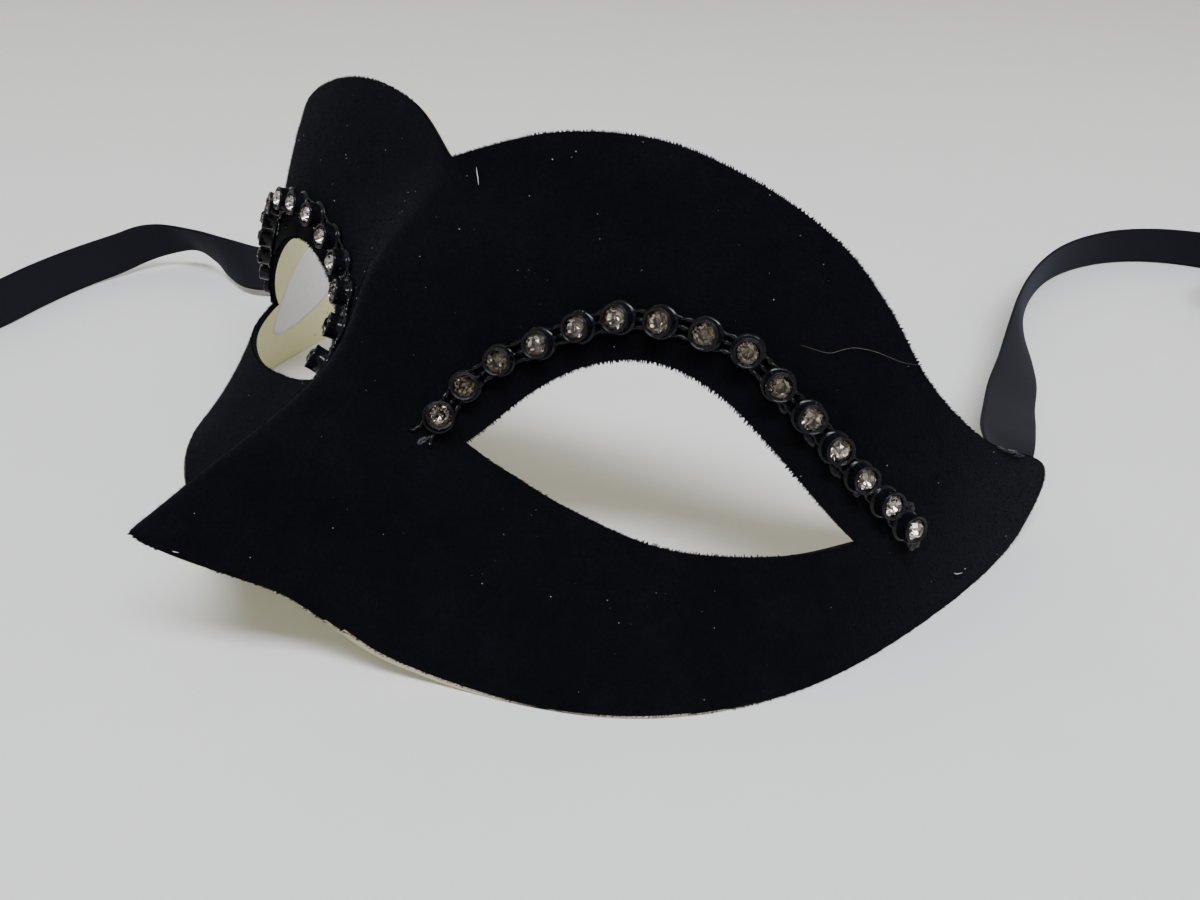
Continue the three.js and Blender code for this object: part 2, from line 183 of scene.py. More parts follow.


# %% [markdown]
# A tie is half-inch satin ribbon. It is a flat strip with a width direction that turns about its run:
# upright where it is glued inside the temple, nearly flat where it comes over the table, and on its
# edge again beyond. The route is a smooth line through listed points, as in the CAD, and the length
# that the photograph doesn't show is wound up beside it as a loose coil that stands on its edge.

# %% Ribbon routes
RIBBON_WIDTH = 12
RIBBON_THICKNESS = 0.35
RIBBON_LENGTH = 450
COIL_RADIUS = 27
COIL_TURN_GAP = 5
COIL_TURNS = 2
COIL_POINTS = 600
RIBBON_ON_EDGE = 6.2
LEFT_ROUTE = [
    (82.4, 43, 9.5, -90),
    (83.5, 52, 10.3, -82),
    (81.5, 61, 12.3, -52),
    (78.6, 71, 13.2, -24),
    (74.6, 86, 11, -20),
    (70.7, 100.5, 8.5, -24),
    (66.1, 120.5, 6.2, -34),
    (61.1, 138, 5.3, -50),
    (56, 154, 5.9, -70),
    (52.5, 168, 6.2, -84),
    (50, 186, 6.2, -94),
    (50, 204, 6.2, -100),
    (53.3, 219.5, 6.2, -102),
    (59.7, 233, 6.2, -102),
    (69.5, 243, 6.2, -102),
    (82.5, 248.6, 6.2, -100),
    (96, 249.6, 6.2, -94),
    (105, 249.2, 6.2, -90),
]
RIGHT_ROUTE = [
    (-82.4, 43, 9.5, 90),
    (-83.9, 52, 9.8, 90),
    (-85.1, 60.5, 9.8, 90),
    (-86.1, 67, 9.7, 90),
    (-89.4, 71.4, 9.5, 90),
    (-95, 71.2, 9.2, 88),
    (-101.3, 65.2, 8.8, 82),
    (-107.2, 55.8, 8.3, 76),
    (-113.2, 46.4, 7.9, 68),
    (-122, 39.6, 7.6, 64),
    (-133.3, 38.4, 8.1, 90),
    (-144.3, 38.6, 9.2, 116),
    (-152, 37.2, 10, 128),
    (-157.4, 33.6, 9.5, 117),
    (-160.8, 28.5, 8.6, 104),
    (-162.2, 21.5, 7.2, 96),
    (-162.1, 9, 6.2, 92),
    (-157.8, -5, 6.2, 90),
    (-152.6, -17.5, 6.2, 90),
    (-149.2, -29, 6.2, 90),
    (-148, -33, 6.2, 90),
]
LEFT_COIL_AT = (117, 222)
RIGHT_COIL_AT = (-175.5, -44)
LEFT_COIL_START_DEG = 90
RIGHT_COIL_START_DEG = 0


def smooth_route(points, steps=16):
    """A smooth cubic line through the points: it passes each one along the chord of its neighbours, weighed
    by the square root of each chord's length."""
    points = np.asarray(points, dtype=float)
    ends = np.vstack([2 * points[0] - points[1], points, 2 * points[-1] - points[-2]])
    before, start, stop, after = ends[:-3], ends[1:-2], ends[2:-1], ends[3:]
    root = np.sqrt(np.linalg.norm(np.diff(ends[:, :3], axis=0), axis=1))[:, None]
    d0, d1, d2 = root[:-2], root[1:-1], root[2:]
    leave = ((start - before) / d0 - (stop - before) / (d0 + d1) + (stop - start) / d1) * d1
    arrive = ((stop - start) / d1 - (after - start) / (d1 + d2) + (after - stop) / d2) * d1
    t = (np.arange(steps) / steps)[None, :, None]
    line = cubic(*(part[:, None, :] for part in (start, stop, leave, arrive)), t)
    return np.vstack([line.reshape(-1, points.shape[1]), points[-1:]])


def coil_line(centre, start_deg, turn_deg):
    """A spiral that winds inwards clockwise, one turn gap nearer its centre for each full turn."""
    turn = np.linspace(0, 2 * math.pi * COIL_TURNS, COIL_POINTS)
    radius = COIL_RADIUS - COIL_TURN_GAP * turn / (2 * math.pi)
    angle = math.radians(start_deg) - turn
    x = centre[0] + radius * np.cos(angle)
    y = centre[1] + radius * np.sin(angle)
    return np.stack([x, y, np.full_like(x, RIBBON_ON_EDGE), np.full_like(x, turn_deg)], axis=-1)


def even_steps(line, length, step=0.8):
    """The line cut to a length, with a point at every even step along it."""
    wanted = np.linspace(0, length, int(length / step) + 1)
    return at_lengths(line, run_length(line[:, :3]), wanted), wanted


def ribbon_line(route, coil_at, coil_start_deg):
    """The whole centreline of one tie, from its glued end through its coil to its cut end."""
    coil = coil_line(coil_at, coil_start_deg, route[-1][3])
    line = np.vstack([smooth_route(route), coil])
    return even_steps(line, RIBBON_LENGTH)


# %% [markdown]
# The ribbon's section is flat and closed, and a hair thicker at its two woven edges. It could be bevelled
# on a curve, but a curve turns its section by rules of its own, so the width direction is worked out here
# for each point of the line.

# %% Ribbon meshes
RIBBON_ACROSS = 14
SELVEDGE_RISE = 0.35
SELVEDGE_WIDTH = 0.4


def ribbon_frame(line):
    """The run of the line at each point, the ribbon's width direction and its face normal.
    The width direction starts level, square to the run, and is turned about the run by the turn angle."""
    run = unit(np.gradient(line[:, :3], axis=0))
    level = unit(np.cross(run, [0, 0, 1]))
    upright = np.cross(level, run)
    turn = np.radians(line[:, 3])[:, None]
    width = level * np.cos(turn) + upright * np.sin(turn)
    return run, width, np.cross(run, width)


def ribbon_piece(name, line, length_along):
    """A flat closed section, slightly thicker at its woven edges, carried along the line.
    Its UV map is in millimetres: along the ribbon and across it."""
    _, width, normal = ribbon_frame(line)
    across = np.linspace(-0.5, 0.5, RIBBON_ACROSS)
    from_edge = (0.5 - np.abs(across)) * RIBBON_WIDTH
    selvedge = 1 + SELVEDGE_RISE * np.exp(-((from_edge / SELVEDGE_WIDTH) ** 2))
    rise = 0.5 * RIBBON_THICKNESS * selvedge
    x = np.concatenate([across, across[::-1]]) * RIBBON_WIDTH
    y = np.concatenate([rise, -rise[::-1]])
    points = line[:, None, :3] + width[:, None, :] * x[None, :, None] + normal[:, None, :] * y[None, :, None]
    rows, columns = points.shape[:2]
    faces = grid_faces(rows, columns, wrap_columns=True)
    caps = np.array([np.arange(columns)[::-1], np.arange(columns) + (rows - 1) * columns])
    piece = mesh_piece(name, points, [faces[:, ::-1], caps[:, ::-1]])
    uv = np.stack(np.broadcast_arrays(length_along[:, None], x[None, :]), axis=-1).reshape(-1, 2)
    layer = piece.data.uv_layers.new(name="ribbon_mm")
    loop_points = np.empty(len(piece.data.loops), dtype=np.int32)
    piece.data.loops.foreach_get("vertex_index", loop_points)
    layer.data.foreach_set("uv", uv[loop_points].astype(np.float32).ravel())
    return piece


def add_ribbon(side, route, coil_at, coil_start_deg):
    """One tie on the body: a mesh whose path is the centreline, in place of the CAD ribbon and coil."""
    line, length_along = ribbon_line(route, coil_at, coil_start_deg)
    piece = ribbon_piece(f"{side}_satin_ribbon", line, length_along)
    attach(piece, "root")
    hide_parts(f"{side}_ribbon", f"{side}_ribbon_coil")
    return piece


ribbons = [
    add_ribbon("left", LEFT_ROUTE, LEFT_COIL_AT, LEFT_COIL_START_DEG),
    add_ribbon("right", RIGHT_ROUTE, RIGHT_COIL_AT, RIGHT_COIL_START_DEG),
]
print("Ribbons of", RIBBON_LENGTH, "mm:", [piece.name for piece in ribbons])

# %% [markdown]
# The sheet is one smooth surface. Seen from the front it has two coordinates, x across and u up, and
# its depth is a sum of simple forms: a superellipse that wraps round the head, a ridge that grows
# towards the nose tip, and slow bows of the brow and cheeks. The face then leans back on the table.

# %% Form of the face
SHEET_THICKNESS = 1.2
LEAN_BACK_DEG = 18
LIFT = 32.4
SHIFT_BACK = -6.7
WRAP_HALF_WIDTH = 90.6
WRAP_DEPTH = 179
WRAP_POWER = 4.09
WRAP_END = 0.9995
RIDGE_TOP = 34
RIDGE_STEP = 16.5
RIDGE_HEIGHTS = np.array([4.9, 16.6, 24, 44.9, 63.7])
RIDGE_ROUNDING = 1.2
RIDGE_WIDTH_TOP = 12.3
RIDGE_WIDTH_TIP = 16.1
RIDGE_FALL = 1.26
RIDGE_END = 1.1
TIP_HEIGHT = -21.1
UNDER_TURN = 0.9
UNDER_WIDTH = 4
BOW_REACH = 45
BROW_BOW = 8.5
CHEEK_TUCK = -9.6
TEMPLE_TWIST = -2.9
TEMPLE_BOW = 0.3


def ridge_height(u):
    """Height of the nose ridge over the wrap: a smooth cubic line through heights at even steps down."""
    last = 2 * RIDGE_HEIGHTS[-1] - RIDGE_HEIGHTS[-2]
    heights = np.concatenate([RIDGE_HEIGHTS[:1], RIDGE_HEIGHTS, [last]])
    place = np.clip((RIDGE_TOP - u) / RIDGE_STEP, 0, len(RIDGE_HEIGHTS) - 1.001)
    i = place.astype(int)
    t = place - i
    before, start, stop, after = (heights[i + k] for k in range(4))
    return cubic(start, stop, (stop - before) / 2, (after - start) / 2, t)


def face_depth(x, u):
    """How far forward the face stands: wrap plus ridge plus bows, each a function of x and u. Below its
    tip the nose turns under, by the distance below the tip and less and less sideways."""
    side = np.minimum(np.abs(x) / WRAP_HALF_WIDTH, WRAP_END)
    wrap = -WRAP_DEPTH * (1 - (1 - side**WRAP_POWER) ** (1 / WRAP_POWER))
    down = np.clip((RIDGE_TOP - u) / (RIDGE_STEP * (len(RIDGE_HEIGHTS) - 1)), 0, RIDGE_END)
    width = RIDGE_WIDTH_TOP + (RIDGE_WIDTH_TIP - RIDGE_WIDTH_TOP) * down
    off = np.hypot(x, RIDGE_ROUNDING) - RIDGE_ROUNDING
    nose = ridge_height(u) * np.exp(-((off / width) ** RIDGE_FALL))
    v = u / BOW_REACH
    w = x / BOW_REACH
    bows = BROW_BOW * v**2 + CHEEK_TUCK * v**3 + (TEMPLE_TWIST * v + TEMPLE_BOW * v**2) * w**2
    under = UNDER_TURN * np.maximum(TIP_HEIGHT - u, 0) * np.exp(-((x / UNDER_WIDTH) ** 2))
    return wrap + nose + bows - under


def face_point(x, u):
    """The outer surface at (x, u), after the face has leaned back and been lifted onto the table."""
    lean = math.radians(LEAN_BACK_DEG)
    forward = face_depth(x, u)
    y = u * math.sin(lean) - forward * math.cos(lean) + SHIFT_BACK
    z = u * math.cos(lean) + forward * math.sin(lean) + LIFT
    return np.stack([x + 0 * u, y, z], axis=-1)


def face_normal(x, u):
    """The outward normal: the cross product of the surface's slopes across and up."""
    step = 0.2
    across = face_point(x + step, u) - face_point(x - step, u)
    up = face_point(x, u + step) - face_point(x, u - step)
    return unit(np.cross(across, up))


# %% [markdown]
# After moulding, the sheet was cut along an outline and two eye openings. Both are smooth lines through
# a few points of one half, seen from the front, and the other half is its mirror. The face between them
# could be trimmed by a boolean, but its edges would be ragged, so the grid itself is fitted to them.

# %% Outline as cut
BROW_EDGE = [(0, 35.9), (15.4, 43.1), (32.8, 45.5), (48.3, 42.8), (60.7, 37.2), (68.6, 29.5), (75.2, 19.5)]
TEMPLE_EDGE = [(82.1, 10.8), (87.6, 5), (88, -7.7), (86.6, -15.2), (84.3, -20)]
CHEEK_EDGE = [(76.1, -29.1), (59.8, -36.1), (39.8, -39.7), (23.8, -37.7), (12, -28.7), (0, TIP_HEIGHT)]
INNER_CORNER = (18.1, -6.3)
OUTER_CORNER = (73.9, -7.1)
UPPER_LID = [(23.4, 3), (31.4, 10.1), (41.6, 13.7), (51.8, 11.7), (62.2, 4.3)]
LOWER_LID = [(23.9, -9), (34.9, -12.2), (50.7, -13.6), (65.9, -10.8)]


def spline(points, steps=24):
    """A smooth flat line through the points, leaving each along the chord of its neighbours."""
    points = np.asarray(points, dtype=float)
    ends = np.vstack([points[:1], points, points[-1:]])
    before, start, stop, after = (array[:, None] for array in (ends[:-3], ends[1:-2], ends[2:-1], ends[3:]))
    t = (np.arange(steps) / steps)[None, :, None]
    line = cubic(start, stop, (stop - before) / 2, (after - start) / 2, t)
    return np.vstack([line.reshape(-1, 2), points[-1:]])


def even_line(points, count):
    """The smooth line through the points, as count + 1 points at even steps."""
    line = spline(points)
    run = run_length(line)
    return at_lengths(line, run, np.linspace(0, run[-1], count + 1))


# %% Grid of one half
ROUND_BROW = 150
ROUND_CHEEK = 140
ROUND_NOSE = 50
ACROSS = 40


def half_grid():
    """Points of one half of the face as a ring, from the eye's edge out to the outline and the ridge.
    Each spoke joins a point of the eye loop to a point of the outer loop, with closer steps at its ends."""
    edge = even_line(BROW_EDGE + TEMPLE_EDGE + CHEEK_EDGE, ROUND_BROW + ROUND_CHEEK)
    ridge_u = np.linspace(CHEEK_EDGE[-1][1], BROW_EDGE[0][1], 2 * ROUND_NOSE + 1)[:-1]
    outer = np.vstack([edge[:-1], np.stack([0 * ridge_u, ridge_u], axis=-1)])
    upper = even_line([INNER_CORNER] + UPPER_LID + [OUTER_CORNER], ROUND_BROW + ROUND_NOSE)
    lower = even_line([INNER_CORNER] + LOWER_LID + [OUTER_CORNER], ROUND_CHEEK + ROUND_NOSE)
    eye = np.vstack([
        upper[ROUND_NOSE:-1],
        lower[ROUND_NOSE + 1 :][::-1],
        lower[1 : ROUND_NOSE + 1][::-1],
        upper[:ROUND_NOSE],
    ])
    t = 0.5 - 0.5 * np.cos(np.linspace(0, math.pi, ACROSS))
    return eye[:, None, :] * (1 - t[None, :, None]) + outer[:, None, :] * t[None, :, None]


half = half_grid()
print("Half face grid:", half.shape[:2], "points")

# %% [markdown]
# The sheet is vacuum-formed plastic, cream inside and on its cut edges. It is made as one closed mesh:
# an outer skin, an inner skin one thickness behind it, and rims that join them round the eyes and the
# outline. The flock was blown on from above after cutting, so it also covers the rims of the eyes and
# the brow. Under the cheeks the rim faces down and stayed bare, and so did a band above it, half a
# millimetre wide. That band is given a darker cream, which is painted shade for the shade under the
# cheek's edge where it meets the table.

# %% Sheet
RIM_ROWS = 3
FLOCKED = 0
CREAM = 1
# The third material number is the bare band above the cut edge under the cheeks, which gets a darker cream
# as painted shade.
SHADED_BAND = 2
BARE_RIM_BELOW = -22.5
BARE_BAND_FROM = -30
BARE_BAND_STEP = 1.5
BARE_CELLS = 3
WORN_FROM = 3.2
WORN_TO = 6.8


def worn(x, u):
    """True on the stretch of the lower edge, by the left nostril, where handling rubbed the flock off."""
    return (x > WORN_FROM) & (x < WORN_TO) & (u < 0)


def bare_cells(u):
    """How many cells of the grid stayed bare above the cut edge: none on the brow, more under a cheek."""
    return np.clip((BARE_BAND_FROM - u) / BARE_BAND_STEP, 0, BARE_CELLS).astype(int)


def sheet_points(side):
    """Both skins and the rims of one half, as a closed loop for each spoke of the grid: eye rim, outer
    skin, outline rim and back along the inner skin, which lies one thickness behind the outer one."""
    x = side * half[..., 0]
    u = half[..., 1]
    skin = face_point(x, u)
    inner = skin - SHEET_THICKNESS * face_normal(x, u)
    depth = np.linspace(0, 1, RIM_ROWS + 2)[1:-1][None, :, None]
    eye_rim = inner[:, :1] + (skin[:, :1] - inner[:, :1]) * depth
    outline_rim = skin[:, -1:] + (inner[:, -1:] - skin[:, -1:]) * depth
    loop = np.concatenate([eye_rim, skin, outline_rim, inner[:, ::-1]], axis=1)
    loop[..., 2] = np.maximum(loop[..., 2], 0)
    return loop


def add_sheet():
    """The two halves, joined where their points meet on the ridge and the middle of both rims."""
    points = []
    faces = []
    marks = []
    for side in (1, -1):
        loop = sheet_points(side)
        rows, columns = loop.shape[:2]
        quads = grid_faces(rows, columns, wrap_rows=True, wrap_columns=True).reshape(rows, columns, 4)
        column = np.broadcast_to(np.arange(columns), (rows, columns))
        last_skin = RIM_ROWS + ACROSS - 1
        kept = np.ones((rows, columns), dtype=bool)
        kept[ROUND_BROW + ROUND_CHEEK :, last_skin : last_skin + RIM_ROWS + 1] = False
        first_bare = last_skin - bare_cells(half[:, -1:, 1])
        in_outline_rim = (column >= last_skin) & (column < last_skin + RIM_ROWS)
        flocked = (column < first_bare) | (column == columns - 1)
        flocked |= in_outline_rim & (half[:, -1:, 1] > BARE_RIM_BELOW)
        finish = np.where(flocked, FLOCKED, CREAM)
        # The bare band under the cheeks gets the darker cream: painted shade.
        finish = np.where((column >= first_bare) & (column < last_skin), SHADED_BAND, finish)
        quads = quads[kept][:, ::side]
        faces.append(quads + len(points) * rows * columns)
        marks.append(finish[kept])
        points.append(loop.reshape(-1, 3))
    points, faces = weld(np.vstack(points), np.vstack(faces))
    return mesh_piece("moulded_sheet", points, [faces], material_index=np.concatenate(marks))


sheet = add_sheet()
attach(sheet, "root")
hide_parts("mask_shell")
describe(sheet)

# %% [markdown]
# Flock is short nylon fibre, shot into wet glue so that it stands on end. A hair system could draw it,
# but it has to leave the scene as a mesh, so each fibre here is a small closed spike with its own lean
# and length. They are sown evenly over the real area of the face.

# %% Flock fibres
FIBRE_LENGTH = 0.42
FIBRE_LENGTHS = (0.7, 1.25)
FIBRE_WIDTH = 0.055
FIBRE_WIDTHS = (0.7, 1.3)
FIBRE_LEAN = 0.42
FIBRE_FOOT = 0.03
FIBRES_A_HALF = 45000
FLOCK_SEED = 21


def fibre_mesh(name, base, direction, length, width, rng):
    """Closed spikes: a three-cornered foot square to each direction and one tip at its length."""
    direction = unit(direction)
    helper = unit(rng.normal(size=direction.shape))
    side = unit(np.cross(direction, helper))
    other = np.cross(direction, side)
    angle = round_angles(3)
    ring = side[:, None, :] * np.cos(angle)[None, :, None] + other[:, None, :] * np.sin(angle)[None, :, None]
    foot = base[:, None, :] + ring * (width / 2)[:, None, None]
    tip = (base + direction * length[:, None])[:, None, :]
    points = np.concatenate([foot, tip], axis=1)
    spike = np.array([[0, 1, 3], [1, 2, 3], [2, 0, 3], [0, 2, 1]])
    return mesh_piece(name, points.reshape(-1, 3), [copies(spike, len(base), 4)], smooth=False)


def sow_face(count, side, rng):
    """Places (x, u) on one half, as many on each part of the grid as its area on the face asks."""
    point = face_point(side * half[..., 0], half[..., 1])
    across = np.diff(point, axis=1)
    around = np.roll(point, -1, axis=0) - point
    area = np.linalg.norm(np.cross(around[:, :-1], across), axis=-1)
    cell = rng.choice(area.size, size=count, p=area.ravel() / area.sum())
    i, j = np.divmod(cell, area.shape[1])
    a = rng.random((count, 1))
    b = rng.random((count, 1))
    i_next = (i + 1) % half.shape[0]
    near = half[i, j] * (1 - a) + half[i_next, j] * a
    far = half[i, j + 1] * (1 - a) + half[i_next, j + 1] * a
    place = near * (1 - b) + far * b
    place = place[j < area.shape[1] - bare_cells(half[i, -1, 1])]
    return side * place[:, 0], place[:, 1]


def add_flock(side, name, seed):
    """Fibres over the face: the foot just under the skin, the lean a random part of the direction."""
    rng = np.random.default_rng(seed)
    x, u = sow_face(FIBRES_A_HALF, side, rng)
    normal = face_normal(x, u)
    direction = normal + FIBRE_LEAN * rng.normal(size=normal.shape)
    length = FIBRE_LENGTH * rng.uniform(*FIBRE_LENGTHS, len(x))
    width = FIBRE_WIDTH * rng.uniform(*FIBRE_WIDTHS, len(x))
    piece = fibre_mesh(name, face_point(x, u) - FIBRE_FOOT * normal, direction, length, width, rng)
    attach(piece, "root")
    describe(piece)
    return piece


flock = [add_flock(1, "left_flock", FLOCK_SEED), add_flock(-1, "right_flock", FLOCK_SEED + 1)]

# %% [markdown]
# Along the cut edges the fibres are longer to the eye, because they are seen from the side. They cling
# together in small tufts, which give the openings and the outline their fine, uneven teeth. So the fringe
# is sown along the edges by their real length, and the fibres of a tuft share one lean and one reach.

# %% Fringe
TUFT_SPACING = 0.36
TUFT_PLACES = (0.2, 0.8)
TUFT_SPREAD = 0.36
TUFT_CLOSES = 0.6
TUFT_RISE = 0.4
TUFT_LEAN = 0.22
TUFT_REACHES = (0.5, 1)
EYE_REACH = 0.68
CUT_REACH = 0.45
FRINGE_FIBRES = 12200
FRINGE_DEPTH = 0.3
FRINGE_INSET = 0.05
FRINGE_SCATTER = 0.02
FRINGE_LENGTHS = (0.85, 1.1)
FRINGE_WIDTHS = (1.6, 2.6)
LOWEST_BASE = 0.1
LOWEST_TIP = 0.15


def edge_line(side, rows, columns, inward):
    """Points of the half grid along an edge of the flock, the direction that leaves the flock there,
    the normal, where the edge is worn, and how far each point lies along the edge."""
    x = side * half[rows, columns, 0]
    u = half[rows, columns, 1]
    line = face_point(x, u)
    behind = half[rows, columns + inward]
    outward = unit(line - face_point(side * behind[:, 0], behind[:, 1]))
    bare = worn(x, u)[:, None] * 1.0
    return line, outward, face_normal(x, u), bare, run_length(line)


def value_along(values, reached, place):
    """The values of an edge at places given as lengths along it."""
    row = np.interp(place, reached, np.arange(len(reached)))
    i = np.minimum(row.astype(int), len(reached) - 2)
    t = (row - i)[:, None]
    return values[i] * (1 - t) + values[i + 1] * t


def add_fringe(name, seed):
    """Fibres along the rims of the eyes and the outline. They stand in tufts: the fibres of a tuft start
    side by side and draw together towards their tips, so the edge looks finely toothed."""
    rng = np.random.default_rng(seed)
    around = np.arange(len(half) + 1) % len(half)
    cut = around[: ROUND_BROW + ROUND_CHEEK + 1]
    edges = (
        (around, 0 * around, 1, EYE_REACH),
        (cut, half.shape[1] - 1 - bare_cells(half[cut, -1, 1]), -1, CUT_REACH),
    )
    bases = []
    tips = []
    for side in (1, -1):
        for rows, columns, inward, longest in edges:
            line, outward, normal, bare, reached = edge_line(side, rows, columns, inward)
            count = int(reached[-1] / TUFT_SPACING)
            centre = TUFT_SPACING * (np.arange(count) + rng.uniform(*TUFT_PLACES, count))
            lean = TUFT_LEAN * rng.normal(size=(count, 3))
            risen = value_along(outward, reached, centre) + TUFT_RISE * value_along(normal, reached, centre)
            shared = unit(risen + lean) * longest * rng.uniform(*TUFT_REACHES, (count, 1))
            tuft = rng.integers(0, count, FRINGE_FIBRES)
            foot = centre[tuft] + TUFT_SPACING * rng.uniform(-TUFT_SPREAD, TUFT_SPREAD, len(tuft))
            depth = rng.uniform(0, FRINGE_DEPTH, (len(tuft), 1))
            start = value_along(line, reached, foot)
            inset = value_along(line - FRINGE_INSET * outward, reached, foot)
            drawn = TUFT_CLOSES * (value_along(line, reached, centre)[tuft] - start)
            unworn = value_along(bare, reached, foot)[:, 0] < 0.5
            bases.append((inset - depth * value_along(normal, reached, foot))[unworn])
            tips.append((start + drawn + shared[tuft])[unworn])
    base, tip = np.concatenate(bases), np.concatenate(tips)
    base[:, 2] = np.maximum(base[:, 2], LOWEST_BASE)
    tip[:, 2] = np.maximum(tip[:, 2], LOWEST_TIP)
    reach = tip - base + FRINGE_SCATTER * rng.normal(size=base.shape)
    length = np.linalg.norm(reach, axis=1) * rng.uniform(*FRINGE_LENGTHS, len(base))
    width = FIBRE_WIDTH * rng.uniform(*FRINGE_WIDTHS, len(base))
    piece = fibre_mesh(name, base, reach, length, width, rng)
    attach(piece, "root")
    describe(piece)
    return piece


flock.append(add_fringe("edge_fringe", FLOCK_SEED + 2))

# %% [markdown]
# Over each eye a strip of fifteen black plastic cups was glued. A cup stands square to the face. The
# strips were laid by hand, so an array along a curve would be too even: their places are given cup by
# cup, as seen from the front, and the two sides differ a little.

# %% Places of the cups
STONES = 15
GLUE_GAP = 0.5
LEFT_CUPS = [
    (13.7, -3.4),
    (14.9, 2),
    (18.3, 7.3),
    (23.7, 11.6),
    (29.4, 15.8),
    (35.3, 18.9),
    (41.7, 20),
    (48.3, 20),
    (54.3, 19),
    (59.1, 15.2),
    (63.6, 11.5),
    (67.5, 7.6),
    (71.1, 3.7),
    (74.5, 0.1),
    (77.4, -3.6),
]
RIGHT_CUPS = [
    (13.8, -3),
    (15, 2.9),
    (17.9, 8.6),
    (23, 13),
    (29.3, 16.5),
    (36, 19.3),
    (42.8, 20.1),
    (49.4, 19.8),
    (55.5, 17.8),
    (60.3, 14),
    (64.3, 9.4),
    (68, 4.8),
    (71.5, 0.4),
    (74.7, -3.6),
    (77.5, -7.2),
]


def cup_places(spots, side):
    """For each cup: its base point, the way along the strip, the way across it and the way out.
    The way along goes from the cup before to the cup after, made square to the way out."""
    x, u = np.array(spots).T * np.array([[side], [1]])
    point = face_point(x, u)
    out = face_normal(x, u)
    chord = np.vstack([point[1:2] - point[:1], point[2:] - point[:-2], point[-1:] - point[-2:-1]])
    way = unit(chord - out * np.sum(chord * out, axis=-1, keepdims=True))
    return point + GLUE_GAP * out, way, np.cross(out, way), out


PLACES = {"left": cup_places(LEFT_CUPS, 1), "right": cup_places(RIGHT_CUPS, -1)}
for side, place in PLACES.items():
    pitch = np.linalg.norm(np.diff(place[0], axis=0), axis=1)
    print(side, "cup pitch in mm:", round(float(pitch.min()), 2), "to", round(float(pitch.max()), 2))

# %% [markdown]
# Each cup has a thin base ring, a straight wall and a rolled rim with a groove, in which the stone sits.
# That is a turned shape: its profile is a list of radii and heights, carried round the cup's own axis for
# all the cups of a strip at once.

# %% Cups
CUP_PROFILE = np.array([
    (2.55, -0.25),
    (2.68, -0.1),
    (2.72, 0.15),
    (2.7, 0.34),
    (2.6, 0.47),
    (2.42, 0.53),
    (2.31, 0.62),
    (2.25, 0.8),
    (2.23, 1.6),
    (2.24, 2.4),
    (2.29, 2.58),
    (2.3, 2.74),
    (2.25, 2.88),
    (2.15, 2.94),
    (2.04, 2.9),
    (1.97, 2.82),
    (1.9, 2.84),
    (1.85, 2.91),
    (1.79, 2.93),
    (1.74, 2.86),
    (1.72, 2.6),
    (1.68, 2.35),
    (1.2, 1.3),
    (0.7, 0.98),
])
CUP_SIDES = 48


def at_cup(place, ahead, aside, height):
    """Points given in a cup's own directions, for all the cups of a strip at once."""
    base, way, side, out = (part.reshape(len(part), *[1] * (np.ndim(height) - 1), 3) for part in place)
    return base + way * ahead[..., None] + side * aside[..., None] + out * height[..., None]


def cups(place):
    """The profile turned about each cup's own axis, with a flat bottom and a flat pocket floor."""
    angle = round_angles(CUP_SIDES)
    radius = CUP_PROFILE[:, 0][None, :, None]
    height = np.broadcast_to(CUP_PROFILE[:, 1][None, :, None], (STONES, len(CUP_PROFILE), CUP_SIDES))
    points = at_cup(place, radius * np.cos(angle), radius * np.sin(angle), height)
    ring = np.arange(CUP_SIDES)
    floor_ring = ring + (len(CUP_PROFILE) - 1) * CUP_SIDES
    stride = len(CUP_PROFILE) * CUP_SIDES
    wall = grid_faces(len(CUP_PROFILE), CUP_SIDES, wrap_columns=True)[:, ::-1]
    caps = np.stack([ring[::-1], floor_ring])
    return points.reshape(-1, 3), [copies(wall, STONES, stride), copies(caps, STONES, stride)]


# %% [markdown]
# The cups were moulded in one string: two lumpy rails and a beaded link join each to the next, and short
# stubs stand past both ends, where the string was cut. They are tubes whose radius is shaken a little from
# ring to ring, because smooth ones would look like wire.

# %% Rails and links
RAIL_RADIUS = 0.34
RAIL_STEPS = 30
RAIL_SIDES = 12
RAIL_OFFSET = 1.95
RAIL_DIP = 0.62
RAIL_DIP_POWER = 0.7
RAIL_HEIGHT = 0.16
RAIL_WANDER = 0.12
RAIL_TWIST = 26
RAIL_PHASE = 6
RAIL_LUMP = 0.24
RAIL_ROUGHNESS = 0.1
LINK_RADIUS = 0.36
LINK_SPAN = (0.22, 0.78)
LINK_HEIGHT = 0.1
LINK_BEADS = 3
LINK_WAIST = 0.62
LINK_SWELL = 0.5
LINK_ROUGHNESS = 0.12
STUB_REACH = 4.4


def tubes(centre, side, out, radius):
    """Lumpy tubes: round each centre line a ring whose radius changes along the tube and round it."""
    angle = round_angles(RAIL_SIDES)
    across = side[:, None, None, :] * np.cos(angle)[None, None, :, None]
    upward = out[:, None, None, :] * np.sin(angle)[None, None, :, None]
    points = centre[:, :, None, :] + (across + upward) * radius[..., None]
    count, steps = centre.shape[:2]
    ring = np.arange(RAIL_SIDES)
    wall = grid_faces(steps, RAIL_SIDES, wrap_columns=True)
    caps = np.stack([ring, ring[::-1] + (steps - 1) * RAIL_SIDES])
    stride = steps * RAIL_SIDES
    return points.reshape(-1, 3), [copies(wall, count, stride), copies(caps, count, stride)]


def gaps(place):
    """Start, stop and directions of every gap between two cups, and of the stubs past both ends."""
    base, way, across, out = place
    start = np.vstack([base[:1] - way[:1] * STUB_REACH, base])
    stop = np.vstack([base, base[-1:] + way[-1:] * STUB_REACH])
    side = np.vstack([across[:1], across[:-1] + across[1:], across[-1:]])
    normal = np.vstack([out[:1], out[:-1] + out[1:], out[-1:]])
    return start, stop, unit(side), unit(normal)


